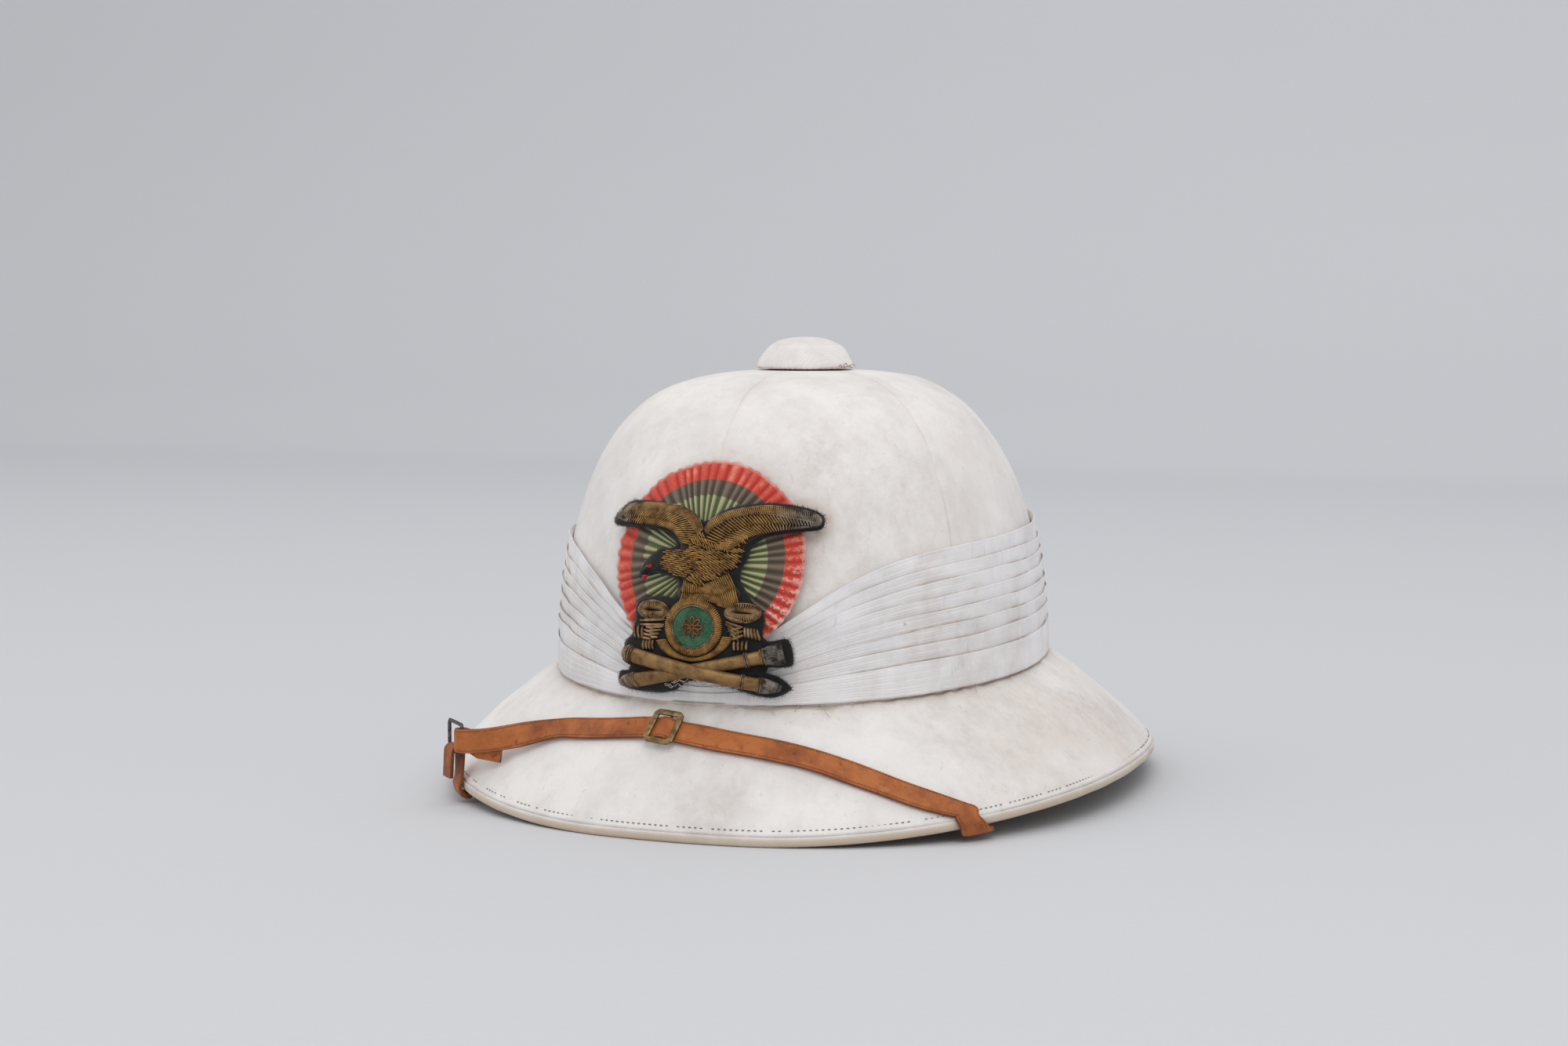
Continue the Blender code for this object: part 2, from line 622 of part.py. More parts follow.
def make_knots_and_cords():
    """Oval cord knots on both sides of the ring, with hanging cords and tassels under them."""
    for side, sign in (("left", 1), ("right", -1)):
        x, y = KNOT_CENTRES[side]
        oval = [(x + KNOT_HALF_SIZE[0] * cos(a), y + KNOT_HALF_SIZE[1] * sin(a)) for a in azimuths(18)]
        make_relief("knot_" + side, drawn(oval), embroidery_seat, EMBROIDERY_EDGE, CORD_RISE,
                    RELIEF_GRID / 2, bullion_surface())
        cords = [(px * sign, py) for px, py in CORDS_OUTLINE][::sign]
        make_relief("cords_" + side, drawn(cords), embroidery_seat, EMBROIDERY_EDGE, CORD_RISE,
                    RELIEF_GRID / 2, bullion_surface())


def barrel_outline(ends, profile, grow=0.0):
    """Outline of a barrel between two drawn ends."""
    start, end = Vector(ends["from"]) * BADGE_UNIT, Vector(ends["to"]) * BADGE_UNIT
    across = Vector((start.y - end.y, end.x - start.x)).normalized()
    left = [start.lerp(end, s) + across * (w * BARREL_HALF_WIDTH + grow) for s, w in profile]
    right = [start.lerp(end, s) - across * (w * BARREL_HALF_WIDTH + grow) for s, w in profile]
    return left[::-1] + right


def clipped(outline, point, keep):
    """Cuts an outline with a line through a point, and keeps the side that keep points to."""
    result = []
    for a, b in zip(outline, outline[1:] + outline[:1]):
        da, db = (a - point).dot(keep), (b - point).dot(keep)
        if da >= 0:
            result.append(a)
        if da * db < 0:
            result.append(a.lerp(b, da / (da - db)))
    return result


def make_barrels():
    """Crossed barrels: one whole, the other hidden where it passes under."""
    make_relief("barrel_over", barrel_outline(OVER_BARREL, OVER_PROFILE), embroidery_seat,
                EMBROIDERY_EDGE, BARREL_RISE, BARREL_HALF_WIDTH, bullion_surface())
    start, end = Vector(OVER_BARREL["from"]) * BADGE_UNIT, Vector(OVER_BARREL["to"]) * BADGE_UNIT
    upwards = Vector((start.y - end.y, end.x - start.x)).normalized()
    clear = BARREL_HALF_WIDTH + EMBROIDERY_GAP * BADGE_UNIT
    for side, keep in (("left", -upwards), ("right", upwards)):
        part = clipped(barrel_outline(UNDER_BARREL, UNDER_PROFILE), start + keep * clear, keep)
        make_relief("barrel_under_" + side, part, embroidery_seat, EMBROIDERY_EDGE, BARREL_RISE,
                    BARREL_HALF_WIDTH, bullion_surface())


class Station:
    """One cross-section of a leather band: its middle, the normal of its face and its width's direction."""

    def __init__(self, middle, normal, along_rim=None, share=0.0):
        self.middle = middle
        self.normal = normal
        self.along_rim = along_rim
        self.share = share


def spline(rows, steps):
    """Smooth points through rows of numbers (Catmull-Rom)."""
    points = [Vector(row) for row in rows]
    points = [points[0] * 2 - points[1]] + points + [points[-1] * 2 - points[-2]]
    result = []
    for a, b, c, d in zip(points, points[1:], points[2:], points[3:]):
        for i in range(steps):
            t = i / steps
            result.append(0.5 * ((2 * b) + (c - a) * t + (2 * a - 5 * b + 4 * c - d) * t * t
                                 + (3 * b - a - 3 * c + d) * t ** 3))
    return result + [points[-2]]


def rim_tangent(azimuth):
    """Direction of the rim, towards larger azimuths."""
    return (rim_point(azimuth + 0.01) - rim_point(azimuth - 0.01)).normalized()


def rim_outward(azimuth):
    """Level direction out of the rim."""
    tangent = rim_tangent(azimuth)
    return Vector((tangent.y, -tangent.x, 0)).normalized()


def rim_wrap(azimuth, shift=0.0):
    """Stations of a band going round the rim's edge from below to above; shift turns it along the rim."""
    lift = WRAP_GAP + STRAP_THICKNESS / 2
    stations = []
    corners = ((RIM_FOOT, 0.0, -90), (RIM_ROUNDING, 0.0, -70), (RIM_ROUNDING, 0.0, -35),
               (0.0, RIM_THICKNESS * 0.5, 0), (RIM_ROUNDING, RIM_THICKNESS, 30))
    for index, (inset, rise, tilt) in enumerate(corners):
        place = azimuth + radians(shift) * (1 - 2 * index / (len(corners) - 1))
        normal = rim_outward(place) * cos(radians(tilt)) + Vector((0, 0, sin(radians(tilt))))
        middle = rim_point(place, inset, rise) + normal * lift
        stations.append(Station(middle, normal, rim_tangent(place), 1.0))
    return stations


def hidden_run(rows):
    """Stations from the end on the crown's inner wall, down it and under the brim to the rim."""
    lift = SHELL_WALL + WRAP_GAP + STRAP_THICKNESS / 2
    stations = []
    top = radians(rows[-1][0])
    for height in (STRAP_END_HEIGHT, STUD_HEIGHT):
        level = base_line(top) + height
        stations.append(Station(crown_point(top, level, -lift), -crown_normal(top, level)))
    corner, wall_normal, slope_normal = inner_corner(top)
    for share in (0, 0.5, 1):
        normal = -wall_normal.lerp(slope_normal, share).normalized()
        stations.append(Station(corner + normal * (lift - SHELL_WALL), normal))
    for row in reversed(spline(rows, 2)):
        azimuth, share = radians(row[0]), row[1]
        near_rim = smooth_step((share - 0.5) / 0.35)
        stations.append(Station(brim_point(azimuth, share, -lift), -brim_normal(azimuth, share),
                                rim_tangent(azimuth), near_rim))
    return stations


def over_brim(rows):
    """Stations over the brim's upper side, rising over the buckle's bar."""
    lift = STRAP_GAP + STRAP_THICKNESS / 2
    bar = brim_point(radians(BUCKLE_AZIMUTH), buckle_share(), lift)
    samples = spline(rows, 24)
    kept, last = [], None
    for row in samples:
        middle = brim_point(radians(row[0]), row[1], lift)
        near_bar = (middle - bar).length < BUCKLE_LENGTH * 0.75
        step = BUCKLE_LENGTH / 14 if near_bar else STRAP_STEP
        if last is None or (middle - last).length >= step:
            kept.append((row, middle))
            last = middle
    stations = []
    for row, middle in kept:
        azimuth, share = radians(row[0]), row[1]
        normal = brim_normal(azimuth, share)
        window = BUCKLE_LENGTH / 2 - BUCKLE_BAND
        hump = 1 - smooth_step(((middle - bar).length - window * 0.25) / (window * 0.7))
        near_rim = smooth_step((share - 0.72) / 0.2)
        rise = (BUCKLE_THICKNESS + STRAP_GAP) * hump
        stations.append(Station(middle + normal * rise, normal, rim_tangent(azimuth), near_rim))
    return stations


def buckle_share():
    """Share of the brim's width at the buckle, read from the strap's route."""
    rows = spline(STRAP_ROUTE, 24)
    return min(rows, key=lambda row: abs(row[0] - BUCKLE_AZIMUTH))[1]


def ring_frame():
    """Middle of the ring's front bar, and the level direction from it along the ring."""
    azimuth = radians(RING_AZIMUTH)
    bar = rim_point(azimuth) + rim_outward(azimuth) * RING_OUTSET
    tangent = rim_tangent(azimuth)
    return Vector((bar.x, bar.y, RING_HEIGHT)), -Vector((tangent.x, tangent.y, 0)).normalized()


def fold_radius():
    """Radius at the middle of leather folded round the ring's wire."""
    return RING_WIRE / 2 + FOLD_GAP + STRAP_THICKNESS / 2


def free_run_and_fold():
    """Stations from the brim to the ring, round its front bar and back on the inner side."""
    on_brim = over_brim(STRAP_ROUTE)
    last, before = on_brim[-1], on_brim[-2]
    bar = ring_frame()[0]
    out = rim_outward(radians(RING_AZIMUTH))
    radius = fold_radius()
    for _ in range(4):
        run = bar + out * radius - last.middle
        arriving = Vector((run.x, run.y, 0)).normalized()
        out = Vector((-arriving.y, arriving.x, 0))
    end = bar + out * radius
    reach = (end - last.middle).length
    leave = (last.middle - before.middle).normalized() * reach
    stations = []
    steps = 9
    for i in range(1, steps + 1):
        t = i / steps
        middle = (last.middle * (2 * t ** 3 - 3 * t * t + 1) + leave * (t ** 3 - 2 * t * t + t)
                  + end * (3 * t * t - 2 * t ** 3) + arriving * reach * (t ** 3 - t * t))
        stations.append(Station(middle, last.normal.lerp(out, smooth_step(t * 1.2)).normalized()))
    for i in range(1, 7):
        turn = pi * i / 6
        normal = out * cos(turn) + arriving * sin(turn)
        stations.append(Station(bar + normal * radius, normal))
    closing = radius * 2 - STRAP_THICKNESS - PIECE_GAP
    for share in (0.3, 0.6, 1.0):
        eased = smooth_step(share / 0.6)
        back = bar - out * (radius - closing * eased) - arriving * STRAP_RETURN * share
        stations.append(Station(back - Vector((0, 0, RETURN_DROP * eased)), -out))
    return stations


def tab_fold():
    """Stations of the tab from above the rim, over the ring's lower bar and down its outer side."""
    bar, backwards = ring_frame()
    low = bar + backwards * TAB_PLACE - Vector((0, 0, ring_half_height()))
    out = Vector((-backwards.y, backwards.x, 0))
    radius = fold_radius()
    stations = []
    for i in range(0, 7):
        turn = pi * (1 - i / 6)
        away = out * cos(turn) + Vector((0, 0, sin(turn)))
        stations.append(Station(low + away * radius, -away, -backwards, 1.0))
    for share in (0.35, 0.7, 1.0):
        middle = low + out * (radius + TAB_LEAN * share) - Vector((0, 0, TAB_FLAP * share))
        stations.append(Station(middle, -out, -backwards, 1.0))
    return stations


def ring_half_height():
    """Half the ring's height between its bars' middles: the strap's width fits inside."""
    return STRAP_WIDTH / 2 + RING_SIDE_CLEARANCE + RING_WIRE / 2


def make_band(name, stations, material):
    """A leather band through stations, square in section."""
    count = len(stations)
    loops = []
    side = None
    for i, station in enumerate(stations):
        ahead = stations[min(i + 1, count - 1)].middle - stations[max(i - 1, 0)].middle
        tangent = ahead.normalized()
        across = station.normal.cross(tangent).normalized()
        if side is not None and across.dot(side) < 0:
            across = -across
        if station.along_rim is not None:
            rim = station.along_rim if station.along_rim.dot(across) > 0 else -station.along_rim
            across = across.lerp(rim, station.share).normalized()
        side = across
        square = max((across - tangent * across.dot(tangent)).length, 0.55)
        half = across * STRAP_WIDTH / 2 / square
        thick = station.normal * STRAP_THICKNESS / 2
        loops.append([station.middle + half + thick, station.middle - half + thick,
                      station.middle - half - thick, station.middle + half - thick])
    bm = bmesh.new()
    rows = add_loops(bm, loops)
    for first, second in zip(rows, rows[1:]):
        bridge(bm, first, second)
    bm.faces.new(rows[0])
    bm.faces.new(rows[-1][::-1])
    bmesh.ops.triangulate(bm, faces=bm.faces)
    return add_object(name, bm, material)


def stud_places():
    """Azimuths of the studs that fasten the strap and the tab."""
    return (("left", radians(STRAP_UNDER[-1][0])), ("right", radians(TAB_UNDER[-1][0])))


def stud_body(name, azimuth, clearance, head):
    """A stud's shank from the air inside into the crown's wall, with or without its head."""
    level = base_line(azimuth) + STUD_HEIGHT
    inwards = -crown_normal(azimuth, level)
    wall = crown_point(azimuth, level, -SHELL_WALL)
    face = WRAP_GAP + STRAP_THICKNESS + STUD_CLEARANCE
    tip = -STUD_DEPTH - clearance
    top = face + (head if head else STRAP_THICKNESS)
    shank = STUD_RADIUS + clearance
    profile = [(0, tip), (shank, tip), (shank, face), (STUD_HEAD_RADIUS, face), (STUD_HEAD_RADIUS, top), (0, top)]
    if not head:
        profile = [(0, tip), (shank, tip), (shank, top), (0, top)]
    turn = Vector((0, 0, 1)).rotation_difference(inwards).to_matrix()
    bm = bmesh.new()
    rows = add_loops(bm, [[wall + turn @ Vector((r * cos(a), r * sin(a), z)) for a in azimuths(10)]
                          for r, z in profile[1:-1]])
    for first, second in zip(rows, rows[1:]):
        bridge(bm, first, second)
    bm.faces.new(rows[0])
    bm.faces.new(rows[-1][::-1])
    return add_object(name, bm, brass_surface("stud_metal"))


def cut(obj, cutter):
    """Cuts a hole with a hidden body."""
    cutter.hide_render = True
    cutter.display_type = "WIRE"
    hole = obj.modifiers.new("hole", "BOOLEAN")
    hole.operation = "DIFFERENCE"
    hole.object = cutter


def make_strap_and_tab():
    """Chin strap, its tab, and the studs that fasten both inside the crown."""
    strap = (hidden_run(STRAP_UNDER) + rim_wrap(radians(STRAP_ROUTE[0][0]), 1.6)
             + over_brim(STRAP_ROUTE)[1:] + free_run_and_fold())
    tab = hidden_run(TAB_UNDER) + rim_wrap(radians(TAB_AZIMUTH)) + tab_fold()
    for name, stations, (side, azimuth) in zip(("chin_strap", "strap_tab"), (strap, tab), stud_places()):
        band = make_band(name, stations, leather_surface())
        cut(band, stud_body(side + "_strap_cut", azimuth, STUD_CLEARANCE, 0.0))
        stud_body("strap_stud_" + side, azimuth, 0.0, STUD_HEAD_THICKNESS)


def rounded_rectangle(half_length, half_width, corner, steps=4):
    """Corner points of a rectangle with round corners, about the origin."""
    points = []
    for index, (sx, sy) in enumerate(((1, 1), (-1, 1), (-1, -1), (1, -1))):
        centre = (sx * (half_length - corner), sy * (half_width - corner))
        points += arc(centre, corner, 90 * index, 90 * index + 90, steps)
    return points


def make_buckle():
    """Flat slide buckle: a round-cornered frame over the strap, its bar under it."""
    stations = over_brim(STRAP_ROUTE)
    azimuth = radians(BUCKLE_AZIMUTH)
    share = buckle_share()
    normal = brim_normal(azimuth, share)
    ground = brim_point(azimuth, share)
    near = sorted(stations, key=lambda s: (s.middle - ground).length)[:2]
    along = near[0].middle - near[1].middle
    along = (along - normal * along.dot(normal)).normalized()
    across = normal.cross(along)
    frame_foot = STRAP_GAP + STRAP_THICKNESS + BUCKLE_SIDE_CLEARANCE
    half_window = STRAP_WIDTH / 2 + BUCKLE_SIDE_CLEARANCE
    half_length = BUCKLE_LENGTH / 2

    def placed(points, height):
        return [ground + along * x + across * y + normal * height for x, y in points]

    outer = rounded_rectangle(half_length, half_window + BUCKLE_BAND, BUCKLE_CORNER)
    inner = rounded_rectangle(half_length - BUCKLE_BAND, half_window, BUCKLE_CORNER - BUCKLE_BAND)
    top = frame_foot + BUCKLE_THICKNESS
    frame = add_object("strap_buckle", ring_of_rings(
        [placed(outer, frame_foot), placed(outer, top), placed(inner, top), placed(inner, frame_foot)]),
        brass_surface("buckle_brass"))
    half_bar = BUCKLE_THICKNESS / 2
    leg_in, leg_out = half_window + PIECE_GAP, half_window + BUCKLE_BAND * 0.8
    low, high, joined = STRAP_GAP * 0.7, STRAP_GAP * 0.7 + BUCKLE_THICKNESS, frame_foot + half_bar
    section = ((-leg_out, low), (leg_out, low), (leg_out, joined), (leg_in, joined), (leg_in, high),
               (-leg_in, high), (-leg_in, joined), (-leg_out, joined))
    loops = [[ground + along * x + across * y + normal * z for y, z in section] for x in (-half_bar, half_bar)]
    bm = bmesh.new()
    rows = add_loops(bm, loops)
    bridge(bm, rows[0], rows[1])
    bm.faces.new(rows[0])
    bm.faces.new(rows[1][::-1])
    bar = add_object("buckle_bar_tool", bm, brass_surface("bar_brass"))
    bar.hide_render = True
    bar.display_type = "WIRE"
    union = frame.modifiers.new("bar", "BOOLEAN")
    union.operation = "UNION"
    union.object = bar


def make_strap_ring():
    """Rectangular wire ring between the strap and the tab."""
    bar, backwards = ring_frame()
    out = Vector((backwards.y, -backwards.x, 0))
    middle = bar + backwards * RING_LENGTH / 2
    path = rounded_rectangle(RING_LENGTH / 2, ring_half_height(), RING_WIRE * 0.9, 3)
    loops = []
    count = len(path)
    for i, (x, z) in enumerate(path):
        ahead, behind = Vector(path[(i + 1) % count]), Vector(path[i - 1])
        tangent = (ahead - behind).normalized()
        inwards = Vector((-tangent.y, tangent.x))
        centre = middle + backwards * x + Vector((0, 0, z))
        loops.append([centre + (backwards * inwards.x + Vector((0, 0, inwards.y))) * cos(a) * RING_WIRE / 2
                      + out * sin(a) * RING_WIRE / 2 for a in azimuths(8)])
    add_object("strap_ring", ring_of_rings(loops), brass_surface("ring_metal"))


def build():
    """Clears the scene and builds every piece."""
    for obj in list(bpy.data.objects):
        bpy.data.objects.remove(obj)
    make_crown()
    make_brim()
    make_puggaree()
    make_button()
    make_button_stem()
    make_cockade()
    make_felt()
    make_eagle()
    make_ring_and_disc()
    make_horn()
    make_knots_and_cords()
    make_barrels()
    make_strap_and_tab()
    make_buckle()
    make_strap_ring()


build()
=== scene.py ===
"""Looks of a white pith helmet: chalked cloth, pleated band, wire embroidery, leather strap and metal."""
import logging
import math
from dataclasses import dataclass, field
from enum import Enum
from typing import ClassVar, Sequence

import bmesh
import bpy
import numpy as np
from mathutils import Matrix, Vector
from mathutils.geometry import delaunay_2d_cdt


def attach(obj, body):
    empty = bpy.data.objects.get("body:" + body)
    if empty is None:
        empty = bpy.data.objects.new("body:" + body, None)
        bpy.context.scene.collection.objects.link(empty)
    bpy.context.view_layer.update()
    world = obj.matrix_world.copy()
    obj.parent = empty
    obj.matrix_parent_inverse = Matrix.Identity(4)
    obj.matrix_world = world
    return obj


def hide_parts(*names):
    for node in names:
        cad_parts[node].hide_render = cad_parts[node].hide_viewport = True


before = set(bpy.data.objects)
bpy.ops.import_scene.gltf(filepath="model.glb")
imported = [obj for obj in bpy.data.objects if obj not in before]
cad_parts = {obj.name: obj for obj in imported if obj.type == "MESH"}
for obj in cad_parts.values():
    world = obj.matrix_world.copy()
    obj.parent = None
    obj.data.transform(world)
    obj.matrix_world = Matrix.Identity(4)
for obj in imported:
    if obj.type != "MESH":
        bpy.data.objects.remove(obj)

LOG = logging.getLogger("pith_helmet")
MM = 0.001
FULL_TURN = 2 * math.pi
RIPPLE_WAVES = 14
END_TAPER = 0.7
Array = np.ndarray
Material, Mesh, Piece, Socket = bpy.types.Material, bpy.types.Mesh, bpy.types.Object, bpy.types.NodeSocket
Triple = tuple[float, float, float]
Outline = tuple[tuple[float, float], ...]


class Tone(Enum):
    """How far a wire's gilt has gone: each value is its share of grey."""

    GILT = 0.0
    WORN = 0.35
    DARK = 0.7
    SILVER = 1.0


class Lay(Enum):
    """How a row of wires lies between its two guide lines."""

    SQUARE = 0.0
    FORWARD = 0.05
    FEATHER = 0.085


def srgb(red: float, green: float, blue: float) -> tuple[float, float, float, float]:
    """Turns a colour of 0 to 255 into a linear one.

    Args:
        red: Red part, 0 to 255.
        green: Green part, 0 to 255.
        blue: Blue part, 0 to 255.

    Returns:
        The linear colour with full alpha.
    """
    parts = [value / 255 for value in (red, green, blue)]
    linear = [v / 12.92 if v <= 0.04045 else ((v + 0.055) / 1.055) ** 2.4 for v in parts]
    return (linear[0], linear[1], linear[2], 1.0)


def eased(value: Array) -> Array:
    """Smooth step of a share that is first kept within 0 and 1."""
    value = np.clip(value, 0.0, 1.0)
    return value * value * (3 - 2 * value)


def unit(vectors: Array) -> Array:
    """Vectors brought to length 1."""
    return vectors / np.linalg.norm(vectors, axis=-1, keepdims=True)


def squarish(wave: Array, power: float) -> Array:
    """A sine or cosine bent towards a square wave, as on a superellipse."""
    return np.sign(wave) * np.abs(wave) ** power


def bell(value: Array, width: float) -> Array:
    """A smooth hump about 0."""
    return np.exp(-(value / width) ** 2)


def turns(count: int) -> Array:
    """Evenly spaced angles of one full turn."""
    return np.arange(count) * FULL_TURN / count


def heading(angle: float) -> Array:
    """Flat direction of an angle."""
    return np.array([math.cos(angle), math.sin(angle)])


def run_along(points: Array) -> Array:
    """Distance from a line's start to each of its points."""
    return np.concatenate([[0], np.cumsum(np.linalg.norm(np.diff(points, axis=0), axis=1))])


def ripple(points: Array, wavelength: float, seed: int) -> Array:
    """A smooth uneven field made of plane waves.

    Args:
        points: Places, with three coordinates last.
        wavelength: Usual distance from crest to crest, in metres.
        seed: Picks the waves.

    Returns:
        Values that spread about 0, mostly within -1.5 and 1.5.
    """
    picks = np.random.default_rng(seed)
    directions = unit(picks.normal(size=(RIPPLE_WAVES, 3)))
    rates = FULL_TURN / wavelength * picks.uniform(0.6, 1.5, RIPPLE_WAVES)
    phases = picks.uniform(0, FULL_TURN, RIPPLE_WAVES)
    total = np.zeros(points.shape[:-1])
    for direction, rate, phase in zip(directions, rates, phases):
        total += np.cos(points @ (direction * rate) + phase)
    return total / math.sqrt(RIPPLE_WAVES / 2)


class Sheet:
    """One material's node tree, built with short calls."""

    def __init__(self, name: str) -> None:
        """Starts a material with its shader.

        Args:
            name: Name of the material.
        """
        self.material = bpy.data.materials.new(name)
        self.material.use_nodes = True
        self.nodes = self.material.node_tree.nodes
        self.links = self.material.node_tree.links
        self.shader = self.nodes["Principled BSDF"]

    def put(self, socket: Socket, value: object) -> None:
        """Links a socket to another one, or sets its value."""
        if isinstance(value, Socket):
            self.links.new(value, socket)
        else:
            socket.default_value = value

    def node(self, kind: str, inputs: dict[object, object], **settings: object) -> bpy.types.Node:
        """Adds a node.

        Args:
            kind: Blender's name of the node without its first part.
            inputs: Value or socket for each input, by name or place.
            **settings: Properties of the node.

        Returns:
            The new node.
        """
        made = self.nodes.new("ShaderNode" + kind)
        for key, value in settings.items():
            setattr(made, key, value)
        for key, value in inputs.items():
            self.put(made.inputs[key], value)
        return made

    def place(self) -> Socket:
        """Object coordinates."""
        return self.node("TexCoord", {}).outputs["Object"]

    def mark(self, name: str) -> Socket:
        """A number that the mesh carries at each point."""
        return self.node("Attribute", {}, attribute_name=name).outputs["Fac"]

    def noise(self, scale: float, detail: float = 3.0, rough: float = 0.55,
              stretch: Triple = (1, 1, 1)) -> Socket:
        """Soft noise over the piece.

        Args:
            scale: Blobs for each metre.
            detail: Octaves.
            rough: Weight of the finer octaves.
            stretch: Factors for the three coordinates.

        Returns:
            A value about 0.5.
        """
        vector = self.node("Mapping", {"Vector": self.place(), "Scale": stretch}).outputs[0]
        made = self.node("TexNoise", {"Vector": vector, "Scale": scale, "Detail": detail, "Roughness": rough})
        return made.outputs["Fac"]

    def math(self, kind: str, first: object, second: object = 0.0) -> Socket:
        """Arithmetic on two numbers."""
        return self.node("Math", {0: first, 1: second}, operation=kind).outputs[0]

    def times(self, first: object, second: object) -> Socket:
        """Product of two numbers."""
        return self.math("MULTIPLY", first, second)

    def plus(self, first: object, second: object) -> Socket:
        """Sum of two numbers."""
        return self.math("ADD", first, second)

    def wave(self, first: object, rate: float) -> Socket:
        """Sine of a number times a rate."""
        return self.math("SINE", self.times(first, rate))

    def span(self, value: object, low: float, high: float, start: float = 0.0,
             end: float = 1.0) -> Socket:
        """Maps low to high onto start to end, and holds the ends."""
        inputs = {"Value": value, "From Min": low, "From Max": high, "To Min": start, "To Max": end}
        return self.node("MapRange", inputs, clamp=True).outputs[0]

    def mix(self, share: object, first: object, second: object) -> Socket:
        """Mixes two colours."""
        made = self.node("Mix", {}, data_type="RGBA")
        for place, value in ((0, share), (6, first), (7, second)):
            self.put(made.inputs[place], value)
        return made.outputs[2]

    def bump(self, height: object, strength: float, distance: float) -> Socket:
        """Turns a height into a normal."""
        return self.node("Bump", {"Height": height, "Strength": strength, "Distance": distance}).outputs[0]

    def weave(self, pitch: float) -> Socket:
        """Plain weave that follows the cloth's own map.

        Args:
            pitch: Distance from thread to thread, in metres.

        Returns:
            A height from -1 to 1.
        """
        cloth = self.node("UVMap", {}, uv_map="cloth").outputs[0]
        parts = self.node("SeparateXYZ", {0: cloth})
        across, along = (self.wave(parts.outputs[k], math.pi / pitch) for k in (0, 1))
        return self.times(across, along)

    def finish(self, colour: object, rough: object, normal: object = None,
               **fixed: float) -> Material:
        """Sets the shader.

        Args:
            colour: Base colour.
            rough: Roughness.
            normal: Bent normal, if any.
            **fixed: Constant values by the socket's name with _ for spaces.

        Returns:
            The finished material.
        """
        self.put(self.shader.inputs["Base Color"], colour)
        self.put(self.shader.inputs["Roughness"], rough)
        if normal is not None:
            self.put(self.shader.inputs["Normal"], normal)
        for key, value in fixed.items():
            self.shader.inputs[key.replace("_", " ")].default_value = value
        return self.material


